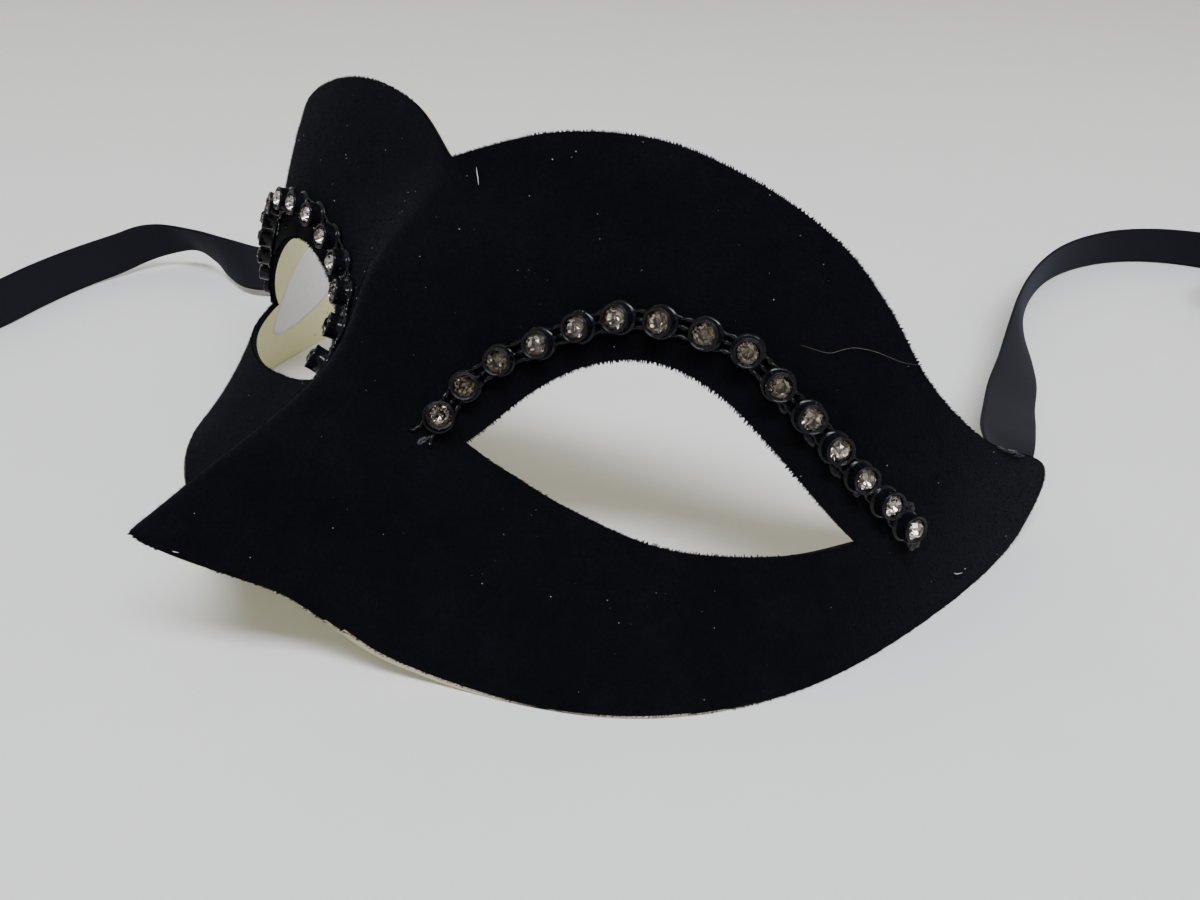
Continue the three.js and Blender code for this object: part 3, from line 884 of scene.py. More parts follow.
def rails(place, rng):
    """Two rails in each gap, twisted like a two-strand rope, which come together a little midway."""
    start, stop, side, out = gaps(place)
    t = np.linspace(0, 1, RAIL_STEPS)
    parts = []
    for hand in (1, -1):
        offset = hand * (RAIL_OFFSET - RAIL_DIP * np.sin(math.pi * t) ** RAIL_DIP_POWER)
        wander = RAIL_WANDER * rng.normal(size=(len(start), 3))
        shift = wander[:, :1] * np.sin(2 * math.pi * t) + wander[:, 1:2] * np.sin(math.pi * t)
        centre = start[:, None] * (1 - t[None, :, None]) + stop[:, None] * t[None, :, None]
        centre = centre + side[:, None] * (offset[None] + shift)[..., None] + out[:, None] * RAIL_HEIGHT
        angle = round_angles(RAIL_SIDES)
        phase = RAIL_PHASE * wander[:, 2][:, None, None]
        twist = 2 * angle[None, None, :] + (RAIL_TWIST * t)[None, :, None] + phase
        rough = RAIL_ROUGHNESS * rng.normal(size=(len(start), RAIL_STEPS, RAIL_SIDES))
        parts.append(tubes(centre, side, out, RAIL_RADIUS * (1 + RAIL_LUMP * np.sin(twist) + rough)))
    return parts


def links(place, rng):
    """A short string of beads in the middle of each gap, as thick as the rails and slightly sunk."""
    start, stop, side, out = (part[1:-1] for part in gaps(place))
    t = np.linspace(*LINK_SPAN, RAIL_STEPS)
    centre = start[:, None] * (1 - t[None, :, None]) + stop[:, None] * t[None, :, None]
    share = (t - t[0]) / (t[-1] - t[0])
    bead = LINK_WAIST + LINK_SWELL * np.abs(np.sin(math.pi * share * LINK_BEADS))
    rough = 1 + LINK_ROUGHNESS * rng.normal(size=(len(start), RAIL_STEPS, RAIL_SIDES))
    lump = bead[None, :, None] * rough
    return [tubes(centre + out[:, None] * LINK_HEIGHT, side, out, LINK_RADIUS * lump)]


def join_parts(parts):
    """One list of points and faces from several, with the faces shifted past the earlier points."""
    points = []
    faces = []
    count = 0
    for part_points, part_faces in parts:
        faces.extend(face + count for face in part_faces)
        points.append(part_points)
        count += len(part_points)
    return np.vstack(points), faces


def add_strip(side, seed):
    """One strip: its cups, rails and links as one mesh in place of the plain strip."""
    rng = np.random.default_rng(seed)
    place = PLACES[side]
    points, faces = join_parts([cups(place)] + rails(place, rng) + links(place, rng))
    piece = mesh_piece(f"{side}_cup_strip", points, faces)
    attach(piece, "root")
    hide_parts(f"{side}_rhinestone_strip")
    describe(piece)
    return piece


strips = [add_strip("left", seed=31), add_strip("right", seed=32)]

# %% [markdown]
# The stones are round brilliants of glass with a mirror on their back. A ray goes in through the crown,
# is thrown back by the mirrored pavilion and leaves by another facet, so each stone shows its own mix
# of the room. The facets are flat: the middle ring of each slope is set where the kites are plane.

# %% Stones
STONE_RADIUS = 1.66
TABLE_RADIUS = 0.9
PAVILION_RING = 0.42
TABLE_HEIGHT = 3.45
GIRDLE_TOP = 2.6
GIRDLE_BOTTOM = 2.52
CULET_HEIGHT = 1.3
CROWN_RING = 1.3
MAIN_FACETS = 8
STONE_TILT = 0.035
CLEAR = 0
MIRROR = 1


def brilliant():
    """Points and faces of a round brilliant: rings of 8 and 16 points, whose heights keep kites plane.
    A ring at half a facet's turn lies on the straight line from the inner ring to the girdle."""
    half_turn = math.pi / MAIN_FACETS
    main = np.arange(MAIN_FACETS) * 2 * half_turn
    fine = np.arange(2 * MAIN_FACETS) * half_turn
    crown_share = (CROWN_RING * math.cos(half_turn) - TABLE_RADIUS) / (STONE_RADIUS - TABLE_RADIUS)
    crown_height = TABLE_HEIGHT + (GIRDLE_TOP - TABLE_HEIGHT) * crown_share
    pavilion_share = PAVILION_RING * math.cos(half_turn) / STONE_RADIUS
    pavilion_height = CULET_HEIGHT + (GIRDLE_BOTTOM - CULET_HEIGHT) * pavilion_share
    rings = [
        (TABLE_RADIUS, TABLE_HEIGHT, main),
        (CROWN_RING, crown_height, main + half_turn),
        (STONE_RADIUS, GIRDLE_TOP, fine),
        (STONE_RADIUS, GIRDLE_BOTTOM, fine),
        (PAVILION_RING, pavilion_height, main + half_turn),
        (0, CULET_HEIGHT, np.zeros(1)),
    ]
    points = np.vstack([
        np.stack([radius * np.cos(angle), radius * np.sin(angle), np.full_like(angle, height)], axis=-1)
        for radius, height, angle in rings
    ])
    table, crown, top, bottom, lower, culet = np.cumsum([0] + [len(angle) for _, _, angle in rings])[:-1]
    i = np.arange(MAIN_FACETS)
    nxt = (i + 1) % MAIN_FACETS
    prev = (i - 1) % MAIN_FACETS
    even, odd, even_next = 2 * i, 2 * i + 1, (2 * i + 2) % (2 * MAIN_FACETS)
    k = np.arange(2 * MAIN_FACETS)
    k_next = (k + 1) % (2 * MAIN_FACETS)
    clear = [
        np.stack([table + i, crown + i, table + nxt], axis=-1),
        np.stack([crown + i, top + even, top + odd], axis=-1),
        np.stack([crown + i, top + odd, top + even_next], axis=-1),
        np.stack([table + i, crown + prev, top + even, crown + i], axis=-1),
        np.stack([top + k, bottom + k, bottom + k_next, top + k_next], axis=-1),
        (table + i)[None, :],
    ]
    silvered = [
        np.stack([lower + i, bottom + odd, bottom + even], axis=-1),
        np.stack([lower + i, bottom + even_next, bottom + odd], axis=-1),
        np.stack([culet + 0 * i, lower + i, bottom + even, lower + prev], axis=-1),
    ]
    marks = [np.full(len(part), CLEAR) for part in clear] + [np.full(len(part), MIRROR) for part in silvered]
    return points, clear + silvered, np.concatenate(marks)


# %% [markdown]
# The same stone goes into all thirty cups, but each is set by hand: it has its own turn and a slight tilt.
# Every stone stays a piece of its own, as it is on the mask.

# %% Setting the stones
def add_stones(side, seed):
    """Every stone sits in its cup with its own turn and a slight tilt of its own."""
    rng = np.random.default_rng(seed)
    points, faces, marks = brilliant()
    pieces = []
    for k in range(STONES):
        base, way, across, out = (part[k] for part in PLACES[side])
        turn = rng.uniform(0, 2 * math.pi)
        tilt = rng.normal(size=2) * STONE_TILT
        x = points[:, 0] * math.cos(turn) - points[:, 1] * math.sin(turn)
        y = points[:, 0] * math.sin(turn) + points[:, 1] * math.cos(turn)
        z = points[:, 2] + tilt[0] * x + tilt[1] * y
        placed = base + x[:, None] * way + y[:, None] * across + z[:, None] * out
        piece = mesh_piece(f"{side}_chaton_{k + 1:02d}", placed, faces, smooth=False, material_index=marks)
        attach(piece, "root")
        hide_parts(f"{side}_stone_{k + 1:02d}")
        pieces.append(piece)
    return pieces


stones = add_stones("left", seed=41) + add_stones("right", seed=42)
describe(stones[0])
print("Stones:", len(stones))

# %% [markdown]
# The paper sticker and the smears of glue are thin closed patches that follow the face. A plane laid
# over it with a shrinkwrap would do, but here the face is a formula, so a disc of rings is drawn in
# its two coordinates and lifted a little over the skin.

# %% Patches
PATCH_RINGS = 9
PATCH_SIDES = 40
PATCH_CENTRE = 0.06
PATCH_RIM = 0.12
PATCH_WAVES = range(2, 7)
PATCH_PHASES = (0, 6.28)


def patch(x, u, half_x, half_u, turn, low, high, wobble=0.0, rng=None):
    """A thin closed disc on the face: polar rings in (x, u), a flat foot at one height over the skin
    and a domed top that falls to a thin rim. A wobble makes the outline and the top uneven."""
    angle = round_angles(PATCH_SIDES)
    reach = np.linspace(PATCH_CENTRE, 1, PATCH_RINGS)
    outline = np.ones(PATCH_SIDES)
    lumps = np.zeros((PATCH_RINGS, PATCH_SIDES))
    if wobble:
        for wave in PATCH_WAVES:
            bend = wobble / wave * rng.normal()
            outline = outline + bend * np.sin(wave * angle + rng.uniform(*PATCH_PHASES))
        lumps = wobble * rng.normal(size=lumps.shape) * (1 - reach[:, None] ** 4)
    a = half_x * reach[:, None] * np.cos(angle) * outline
    b = half_u * reach[:, None] * np.sin(angle) * outline
    px = x + a * math.cos(turn) - b * math.sin(turn)
    pu = u + a * math.sin(turn) + b * math.cos(turn)
    swell = PATCH_RIM + (1 - PATCH_RIM) * np.sqrt(1 - reach[:, None] ** 4)
    dome = (high - low) * swell * (1 + lumps) + 0 * px
    skin = face_point(px, pu)
    normal = face_normal(px, pu)
    top = skin + normal * (low + dome)[..., None]
    foot = skin + normal * low
    points = np.concatenate([top, foot[::-1]], axis=0)
    wall = grid_faces(2 * PATCH_RINGS, PATCH_SIDES, wrap_columns=True)
    ring = np.arange(PATCH_SIDES)
    caps = np.stack([ring, ring[::-1] + (2 * PATCH_RINGS - 1) * PATCH_SIDES])
    return points.reshape(-1, 3), [wall, caps]


# %% [markdown]
# Inside the right temple is a blank oval sticker. The skin behind the face lies one thickness back, so
# the sticker's heights are negative, and its faces are turned round.

# %% Sticker
STICKER_AT = (-78.8, -4)
STICKER_HALF_WIDTH = 4.4
STICKER_HALF_HEIGHT = 11.5
STICKER_TURN = 0.12
STICKER_BACK = -1.42
STICKER_FRONT = -1.22


def add_sticker():
    """A patch on the inner skin, in place of the plain slab."""
    points, faces = patch(
        *STICKER_AT, STICKER_HALF_WIDTH, STICKER_HALF_HEIGHT, STICKER_TURN, STICKER_FRONT, STICKER_BACK
    )
    piece = mesh_piece("oval_sticker", points, [face[:, ::-1] for face in faces])
    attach(piece, "root")
    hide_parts("inner_sticker")
    describe(piece)
    return piece


sticker = add_sticker()

# %% [markdown]
# Some glue was squeezed out beside the left strip and dried there in small smears, longer than wide, and
# a little more at the corner where the ribbon was fixed. Each one is a patch with an uneven outline.

# %% Dried glue
GLUE_FOOT = 0.02
GLUE_WOBBLE = 0.4
GLUE_SEED = 51
GLUE_SMEARS = [
    (57.9, 14.0, 1.0, 0.4, -0.7, 0.14),
    (60.6, 11.9, 1.2, 0.5, -0.8, 0.16),
    (62.7, 9.9, 0.9, 0.4, -0.8, 0.12),
    (64.9, 7.9, 1.3, 0.5, -0.8, 0.16),
    (67.1, 5.7, 0.8, 0.4, -0.85, 0.12),
    (68.8, 3.8, 1.2, 0.5, -0.85, 0.16),
    (71.6, 1.1, 1.1, 0.4, -0.85, 0.12),
    (77.5, -0.6, 0.9, 0.5, -0.9, 0.2),
    (79.5, -7.3, 0.4, 0.9, 0.1, 0.15),
    (13.7, -6.9, 0.4, 0.9, -0.4, 0.15),
    (84.4, 8.7, 0.8, 0.3, -0.75, 0.5),
    (85.4, 7.7, 0.5, 0.25, -0.75, 0.5),
]


def add_glue():
    """All the smears as one piece, each given by its place, half sides, turn and height."""
    rng = np.random.default_rng(GLUE_SEED)
    parts = [
        patch(x, u, long, wide, turn, GLUE_FOOT, high, wobble=GLUE_WOBBLE, rng=rng)
        for x, u, long, wide, turn, high in GLUE_SMEARS
    ]
    piece = mesh_piece("dried_glue", *join_parts(parts))
    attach(piece, "root")
    describe(piece)
    return piece


glue = add_glue()

# %% [markdown]
# Black flock catches everything. One brown hair lies across the brow, a few pale threads stick to the
# edge, and fine dust is spread over the whole face. They are what makes the black read as cloth.

# %% Hair and lint
HAIR_ROUTE = [
    (60.3, 21.6),
    (62.1, 21.4),
    (63.8, 21.3),
    (65.2, 22.2),
    (66.4, 22.8),
    (68.4, 22.8),
    (70, 22.4),
    (71.7, 21.9),
    (73.5, 21.9),
]
HAIR_RADIUS = 0.032
HAIR_HEIGHT = 0.5
LINT_ROUTES = [
    ([(5.2, 35.4), (5.6, 34.4), (6.1, 33.4), (6.5, 32.7)], 0.06),
    ([(83.9, -13), (84.2, -13.3), (84.6, -13.3)], 0.07),
    ([(3.9, -23.1), (4.1, -23.2), (4.35, -23.3)], 0.06),
]
LINT_HEIGHT = 0.45
LINT_SEED = 61
THREAD_TAPER = 0.35
SPECKS = 260
SPECK_SIZE = 0.09
SPECK_SIZES = (0.3, 1)
SPECK_CORNERS = (0.5, 1.2)
SPECK_HEIGHTS = (0.25, 0.45)


def thread(route, radius, height):
    """A thin tube over the face through places (x, u), tapered to its ends."""
    line = even_line(route, RAIL_STEPS - 1)
    centre = face_point(line[:, 0], line[:, 1]) + height * face_normal(line[:, 0], line[:, 1])
    middle = len(line) // 2
    out = face_normal(line[middle : middle + 1, 0], line[middle : middle + 1, 1])
    side = unit(np.cross(out, centre[-1:] - centre[:1]))
    taper = np.sin(np.linspace(THREAD_TAPER, math.pi - THREAD_TAPER, RAIL_STEPS))[None, :, None]
    return tubes(centre[None], side, out, radius * taper * np.ones((1, RAIL_STEPS, RAIL_SIDES)))


def add_hair():
    """One hair, which lies on the tips of the flock."""
    piece = mesh_piece("stray_hair", *thread(HAIR_ROUTE, HAIR_RADIUS, HAIR_HEIGHT))
    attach(piece, "root")
    describe(piece)
    return piece


def add_lint():
    """A few threads of lint and many specks of dust, each speck a small four-sided crumb."""
    rng = np.random.default_rng(LINT_SEED)
    parts = [thread(route, radius, LINT_HEIGHT) for route, radius in LINT_ROUTES]
    x, u = sow_face(SPECKS, 1, rng)
    count = len(x)
    x = x * rng.choice([1, -1], count)
    centre = face_point(x, u) + face_normal(x, u) * rng.uniform(*SPECK_HEIGHTS, (count, 1))
    corner = np.array([(1, 1, 1), (-1, -1, 1), (-1, 1, -1), (1, -1, -1)])
    size = SPECK_SIZE * rng.uniform(*SPECK_SIZES, (count, 1, 1)) ** 1.5
    crumbs = centre[:, None] + corner[None] * size * rng.uniform(*SPECK_CORNERS, (count, 4, 1))
    crumb_faces = np.array([[0, 2, 1], [0, 1, 3], [0, 3, 2], [1, 2, 3]])
    parts.append((crumbs.reshape(-1, 3), [copies(crumb_faces, count, 4)]))
    piece = mesh_piece("lint", *join_parts(parts))
    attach(piece, "root")
    describe(piece)
    return piece


hair = add_hair()
lint = add_lint()

# %% [markdown]
# Colour is procedural. Node groups hold what several materials share: soft mottling, fine dust and the
# weave of the ribbon. A group gives only colours, masks or values, and each material keeps its own
# shader. Object coordinates are in metres, so a scale of 1000 makes a feature of about a millimetre.

# %% Node helpers
def new_group(name, inputs, outputs):
    """An empty shader node group with named float or colour sockets and its two end nodes."""
    tree = bpy.data.node_groups.new(name, "ShaderNodeTree")
    for label, kind, value in inputs:
        socket = tree.interface.new_socket(label, in_out="INPUT", socket_type=kind)
        if value is not None:
            socket.default_value = value
    for label, kind in outputs:
        tree.interface.new_socket(label, in_out="OUTPUT", socket_type=kind)
    return tree, tree.nodes.new("NodeGroupInput"), tree.nodes.new("NodeGroupOutput")


def node(tree, kind, values=None, **settings):
    """A node with its settings. Values are put on its inputs by name or number, and outputs are linked."""
    made = tree.nodes.new(kind)
    for key, value in settings.items():
        setattr(made, key, value)
    for key, value in (values or {}).items():
        if isinstance(value, bpy.types.NodeSocket):
            tree.links.new(value, made.inputs[key])
        else:
            made.inputs[key].default_value = value
    return made


def math_node(tree, operation, *values):
    """One step of arithmetic on numbers or outputs, in the order of the node's own inputs."""
    return node(tree, "ShaderNodeMath", dict(enumerate(values)), operation=operation).outputs[0]


def ramp(tree, value, low, high, out_low=0.0, out_high=1.0):
    """Maps a value from one range to another and holds it at both ends."""
    made = node(tree, "ShaderNodeMapRange", {0: value, 1: low, 2: high, 3: out_low, 4: out_high})
    return made.outputs[0]


def mix_colour(tree, factor, first, second):
    """The first colour where the factor is 0, the second where it is 1."""
    made = node(tree, "ShaderNodeMix", {0: factor, 6: first, 7: second}, data_type="RGBA")
    return made.outputs[2]


# %% [markdown]
# Mottling is how nothing stays quite even: two sizes of noise, a coarse one for the drift and a finer one
# that breaks its edges. Dust is the opposite, sharp and rare. One noise texture could be tuned for each
# material, but as groups both keep their make-up, and a material only chooses their scale.

# %% Mottling and dust
FINER_SCALE = 4.7
COARSE_SHARE = 0.65
FINE_SHARE = 0.35
MOTTLING_FROM = 0.3
MOTTLING_TO = 0.7
GRAIN_CORE = 0.12
GRAIN_RIM = 0.3


def mottling_group():
    """Two sizes of noise in object space, mixed into one value from 0 to 1."""
    tree, start, end = new_group(
        "mottling",
        [("Vector", "NodeSocketVector", None), ("Scale", "NodeSocketFloat", 400.0)],
        [("Value", "NodeSocketFloat")],
    )
    place, scale = start.outputs["Vector"], start.outputs["Scale"]
    coarse = node(tree, "ShaderNodeTexNoise", {"Vector": place, "Scale": scale, "Detail": 3.0})
    finer = math_node(tree, "MULTIPLY", scale, FINER_SCALE)
    fine = node(tree, "ShaderNodeTexNoise", {"Vector": place, "Scale": finer, "Detail": 2.0})
    drift = math_node(tree, "MULTIPLY", coarse.outputs[0], COARSE_SHARE)
    both = math_node(tree, "MULTIPLY_ADD", fine.outputs[0], FINE_SHARE, drift)
    tree.links.new(ramp(tree, both, MOTTLING_FROM, MOTTLING_TO), end.inputs["Value"])
    return tree


def dust_group():
    """Small round grains: space is cut into cells, and only a few show, close to their centres."""
    tree, start, end = new_group(
        "dust",
        [
            ("Vector", "NodeSocketVector", None),
            ("Scale", "NodeSocketFloat", 900.0),
            ("Share", "NodeSocketFloat", 0.06),
        ],
        [("Mask", "NodeSocketFloat")],
    )
    place, scale = start.outputs["Vector"], start.outputs["Scale"]
    cell = node(tree, "ShaderNodeTexVoronoi", {"Vector": place, "Scale": scale})
    apart = node(tree, "ShaderNodeSeparateColor", {0: cell.outputs["Color"]})
    chosen = math_node(tree, "LESS_THAN", apart.outputs[0], start.outputs["Share"])
    near = ramp(tree, cell.outputs["Distance"], GRAIN_CORE, GRAIN_RIM, 1.0, 0.0)
    tree.links.new(math_node(tree, "MULTIPLY", chosen, near), end.inputs["Mask"])
    return tree


MOTTLING = mottling_group()
DUST = dust_group()


def mottling(tree, place, scale):
    """The mottling value in a material, at its own scale."""
    return node(tree, "ShaderNodeGroup", {"Vector": place, "Scale": scale}, node_tree=MOTTLING).outputs[0]


def dust(tree, place, scale, share):
    """The mask of the grains in a material, at its own scale and with its own share of cells."""
    values = {"Vector": place, "Scale": scale, "Share": share}
    return node(tree, "ShaderNodeGroup", values, node_tree=DUST).outputs[0]


# %% [markdown]
# Satin shows long threads along the ribbon, faint ribs across it and a firm woven edge. An image of cloth
# would do, but a pattern from the ribbon's own map in millimetres stays sharp and follows every bend.

# %% Weave
WEAVE_STRETCH = 0.9
WEAVE_SCALE = 6.0
RIB_PITCH = 18.0
RIB_SHARE = 0.12
WOVEN_EDGE_FROM = 0.35
WOVEN_EDGE_TO = 0.7


def weave_group():
    """Satin weave from a map in millimetres: long floats along the ribbon and a firm woven edge."""
    tree, start, end = new_group(
        "weave",
        [("Map", "NodeSocketVector", None), ("Half width", "NodeSocketFloat", 6.0)],
        [("Threads", "NodeSocketFloat"), ("Edge", "NodeSocketFloat")],
    )
    apart = node(tree, "ShaderNodeSeparateXYZ", {0: start.outputs["Map"]})
    lengthwise, across = apart.outputs[0], apart.outputs[1]
    stretched = math_node(tree, "MULTIPLY", lengthwise, WEAVE_STRETCH)
    cloth = node(tree, "ShaderNodeCombineXYZ", {0: stretched, 1: across}).outputs[0]
    floats = node(tree, "ShaderNodeTexNoise", {"Vector": cloth, "Scale": WEAVE_SCALE, "Detail": 2.0})
    ribs = math_node(tree, "SINE", math_node(tree, "MULTIPLY", lengthwise, RIB_PITCH))
    threads = math_node(tree, "MULTIPLY_ADD", ribs, RIB_SHARE, floats.outputs[0])
    tree.links.new(threads, end.inputs["Threads"])
    side = math_node(tree, "ABSOLUTE", across)
    from_edge = math_node(tree, "SUBTRACT", start.outputs["Half width"], side)
    edge = ramp(tree, from_edge, WOVEN_EDGE_FROM, WOVEN_EDGE_TO, 1.0, 0.0)
    tree.links.new(edge, end.inputs["Edge"])
    return tree


WEAVE = weave_group()
print("Shared groups:", ", ".join(group.name for group in (MOTTLING, DUST, WEAVE)))


# %% Material helpers
def new_material(name, **shader_values):
    """A material with one Principled shader, whose constants are set on its own sockets."""
    material = bpy.data.materials.new(name)
    material.use_nodes = True
    tree = material.node_tree
    shader = tree.nodes["Principled BSDF"]
    for key, value in shader_values.items():
        shader.inputs[key.replace("_", " ")].default_value = value
    place = tree.nodes.new("ShaderNodeTexCoord").outputs["Object"]
    return material, tree, shader, place


def paint(tree, shader, mask, first, second):
    """Gives the shader its base colour, from the first to the second as the mask goes from 0 to 1."""
    tree.links.new(mix_colour(tree, mask, first, second), shader.inputs["Base Color"])


def spread(tree, socket, value, low, high):
    """Gives a shader socket a value that follows a mask, from low to high."""
    tree.links.new(ramp(tree, value, 0, 1, low, high), socket)


def bump(tree, shader, height, strength, distance_mm):
    """Raises and sinks the shading by a value, as if the surface moved by the distance."""
    values = {"Strength": strength, "Distance": distance_mm * MM, "Height": height}
    made = node(tree, "ShaderNodeBump", values)
    tree.links.new(made.outputs[0], shader.inputs["Normal"])


# %% [markdown]
# Flock swallows light: the ground between the fibres is almost black, and only at a grazing look does
# the pile catch a faint blue-grey sheen. Nap pressed by fingers makes slow, weak changes over the face.

# %% Flock materials
FLOCK_DARK = (0.0013, 0.0013, 0.0021, 1)
FLOCK_LIGHT = (0.0037, 0.0037, 0.0057, 1)
SHEEN_TINT = (0.55, 0.6, 0.75, 1)


def flock_material(name, sheen, bump_strength):
    """Black pile: slow changes of the nap times the fine pile, and a faint sheen."""
    material, tree, shader, place = new_material(
        name, Roughness=0.95, Sheen_Weight=sheen, Sheen_Roughness=0.35, Sheen_Tint=SHEEN_TINT
    )
    shader.inputs["Specular IOR Level"].default_value = 0.05
    nap = mottling(tree, place, 90.0)
    pile = mottling(tree, place, 2200.0)
    mixed = math_node(tree, "MULTIPLY", nap, pile)
    paint(tree, shader, mixed, FLOCK_DARK, FLOCK_LIGHT)
    bump(tree, shader, pile, bump_strength, 0.15)
    return material


flock_ground = flock_material("black_flock_ground", 0.02, 0.8)
flock_pile = flock_material("black_flock_pile", 0.05, 0.0)

# %% [markdown]
# The inside is bare sheet, warm cream and a little dusty, with a soft sheen and the faint waviness of
# plastic that was drawn over a form.

# %% Cream plastic
CREAM_LIGHT = (0.64, 0.615, 0.36, 1)
CREAM_DARK = (0.58, 0.555, 0.32, 1)
CREAM_DUST = (0.3, 0.28, 0.24, 1)
# The next two colours are the cream darkened as painted shade, for the bare band under the cheeks.
BAND_SHADE_LIGHT = (0.27, 0.23, 0.15, 1)
BAND_SHADE_DARK = (0.17, 0.145, 0.095, 1)


def cream_material(name, light, dark):
    """Bare sheet: a soft drift of colour, some dust, and a grain that changes the gloss."""
    material, tree, shader, place = new_material(name, Roughness=0.5)
    soft = mottling(tree, place, 60.0)
    grain = mottling(tree, place, 700.0)
    grains = dust(tree, place, 520.0, 0.035)
    paint(tree, shader, grains, mix_colour(tree, soft, dark, light), CREAM_DUST)
    spread(tree, shader.inputs["Roughness"], grain, 0.42, 0.6)
    bump(tree, shader, grain, 0.12, 0.1)
    return material


cream = cream_material("cream_plastic", CREAM_LIGHT, CREAM_DARK)
# The same plastic darkened as painted shade, for the bare band under the cheeks.
shade_band_cream = cream_material("painted_shade_edge", BAND_SHADE_LIGHT, BAND_SHADE_DARK)

# %% [markdown]
# The cups are glossy black plastic straight from the mould. They carry a thin haze from handling and
# some pale grains of dust, and the gloss is a little rougher where the haze is.

# %% Black plastic
PLASTIC_CLEAN = (0.002, 0.002, 0.003, 1)
PLASTIC_HAZY = (0.006, 0.006, 0.008, 1)
PLASTIC_DUST = (0.12, 0.12, 0.12, 1)


def black_plastic_material():
    """Gloss black with a haze that lightens and roughens it, and grains of dust."""
    material, tree, shader, place = new_material("gloss_black_plastic")
    shader.inputs["Specular IOR Level"].default_value = 0.15
    haze = mottling(tree, place, 500.0)
    grains = dust(tree, place, 2400.0, 0.025)
    paint(tree, shader, grains, mix_colour(tree, haze, PLASTIC_CLEAN, PLASTIC_HAZY), PLASTIC_DUST)
    spread(tree, shader.inputs["Roughness"], haze, 0.06, 0.16)
    bump(tree, shader, haze, 0.08, 0.05)
    return material


black_plastic = black_plastic_material()

# %% [markdown]
# The stones are clear glass over a mirror of slightly warm silver. The mirror is tarnished in patches,
# which gives the champagne and brown facets between the white ones.

# %% Stone materials
GLASS_WARM = (0.99, 0.97, 0.94, 1)
GLASS_COOL = (0.97, 0.98, 0.99, 1)
SILVER = (0.64, 0.59, 0.55, 1)
TARNISH = (0.08, 0.06, 0.05, 1)


def glass_material():
    """Clear glass, a little warmer or cooler from place to place, with rough smears."""
    material, tree, shader, place = new_material(
        "clear_glass", Roughness=0.0, IOR=1.56, Transmission_Weight=1.0
    )
    tint = mottling(tree, place, 300.0)
    smear = dust(tree, place, 2600.0, 0.05)
    paint(tree, shader, tint, GLASS_WARM, GLASS_COOL)
    spread(tree, shader.inputs["Roughness"], smear, 0.0, 0.25)
    return material


def mirror_material():
    """The silvered back: a mirror that turns brown where it is tarnished."""
    material, tree, shader, place = new_material("silvered_back", Metallic=1.0)
    tarnish = mottling(tree, place, 900.0)
    paint(tree, shader, tarnish, SILVER, TARNISH)
    spread(tree, shader.inputs["Roughness"], tarnish, 0.0, 0.03)
    return material


glass = glass_material()
mirror = mirror_material()

# %% [markdown]
# The sticker's paper is lilac white and matt, with a faint fibre. An even white would look like plastic.

# %% Paper
PAPER_DARK = (0.62, 0.6, 0.63, 1)
PAPER_LIGHT = (0.69, 0.67, 0.7, 1)


def paper_material():
    """Matt paper whose fibre changes its colour and its height a little."""
    material, tree, shader, place = new_material("lilac_white_paper", Roughness=0.65)
    fibre = mottling(tree, place, 800.0)
    paint(tree, shader, fibre, PAPER_DARK, PAPER_LIGHT)
    bump(tree, shader, fibre, 0.1, 0.05)
    return material


paper = paper_material()

# %% [markdown]
# The ribbon is dark charcoal satin. Its thread floats lie along it, so its gloss is drawn out across, and
# its woven edges are a shade duller. Cloth could be shaded with a velvet look, but satin shines.

# %% Ribbon satin
SATIN_DARK = (0.005, 0.005, 0.0075, 1)
SATIN_LIGHT = (0.007, 0.007, 0.0105, 1)
SATIN_THREAD = (0.0095, 0.0098, 0.014, 1)
SATIN_EDGE = (0.005, 0.0055, 0.0075, 1)
SATIN_SHEEN = (0.55, 0.62, 0.9, 1)


def ribbon_material():
    """Satin from the ribbon's own map: threads over a slowly changing body, and a duller edge."""
    material, tree, shader, place = new_material(
        "charcoal_satin", Sheen_Weight=0.03, Sheen_Roughness=0.4, Sheen_Tint=SATIN_SHEEN, Anisotropic=0.5
    )
    shader.inputs["Specular IOR Level"].default_value = 0.07
    flat_map = node(tree, "ShaderNodeUVMap", uv_map="ribbon_mm").outputs[0]
    weave = node(tree, "ShaderNodeGroup", {"Map": flat_map}, node_tree=WEAVE)
    body = mix_colour(tree, mottling(tree, place, 70.0), SATIN_DARK, SATIN_LIGHT)
    threads = mix_colour(tree, weave.outputs["Threads"], body, SATIN_THREAD)
    paint(tree, shader, weave.outputs["Edge"], threads, SATIN_EDGE)
    spread(tree, shader.inputs["Roughness"], weave.outputs["Threads"], 0.6, 0.75)
    bump(tree, shader, weave.outputs["Threads"], 0.25, 0.06)
    return material


satin = ribbon_material()

# %% [markdown]
# Dried glue is cloudy and half clear: the black below shows through it, and its skin catches small sharp
# lights. A white glue would be simpler, but on the flock it shows only by its gloss.

# %% Glue
GLUE_CLEAR = (0.002, 0.002, 0.003, 1)
GLUE_CLOUDY = (0.012, 0.012, 0.013, 1)


def glue_material():
    """Half clear glue, rougher and paler where it is cloudy."""
    material, tree, shader, place = new_material("cloudy_glue", IOR=1.4, Transmission_Weight=0.8)
    shader.inputs["Specular IOR Level"].default_value = 0.3
    cloud = mottling(tree, place, 900.0)
    paint(tree, shader, cloud, GLUE_CLEAR, GLUE_CLOUDY)
    spread(tree, shader.inputs["Roughness"], cloud, 0.12, 0.5)
    bump(tree, shader, cloud, 0.5, 0.2)
    return material


glue_clear = glue_material()

# %% [markdown]
# Hair and lint are so thin that only their colour tells: brown and a little glossy, or grey and matt. Both
# come from one function, with a slow change of colour along the thread.

# %% Hair and lint colours
HAIR_DARK = (0.05, 0.04, 0.03, 1)
HAIR_LIGHT = (0.12, 0.1, 0.08, 1)
LINT_DARK = (0.25, 0.25, 0.25, 1)
LINT_LIGHT = (0.6, 0.6, 0.58, 1)


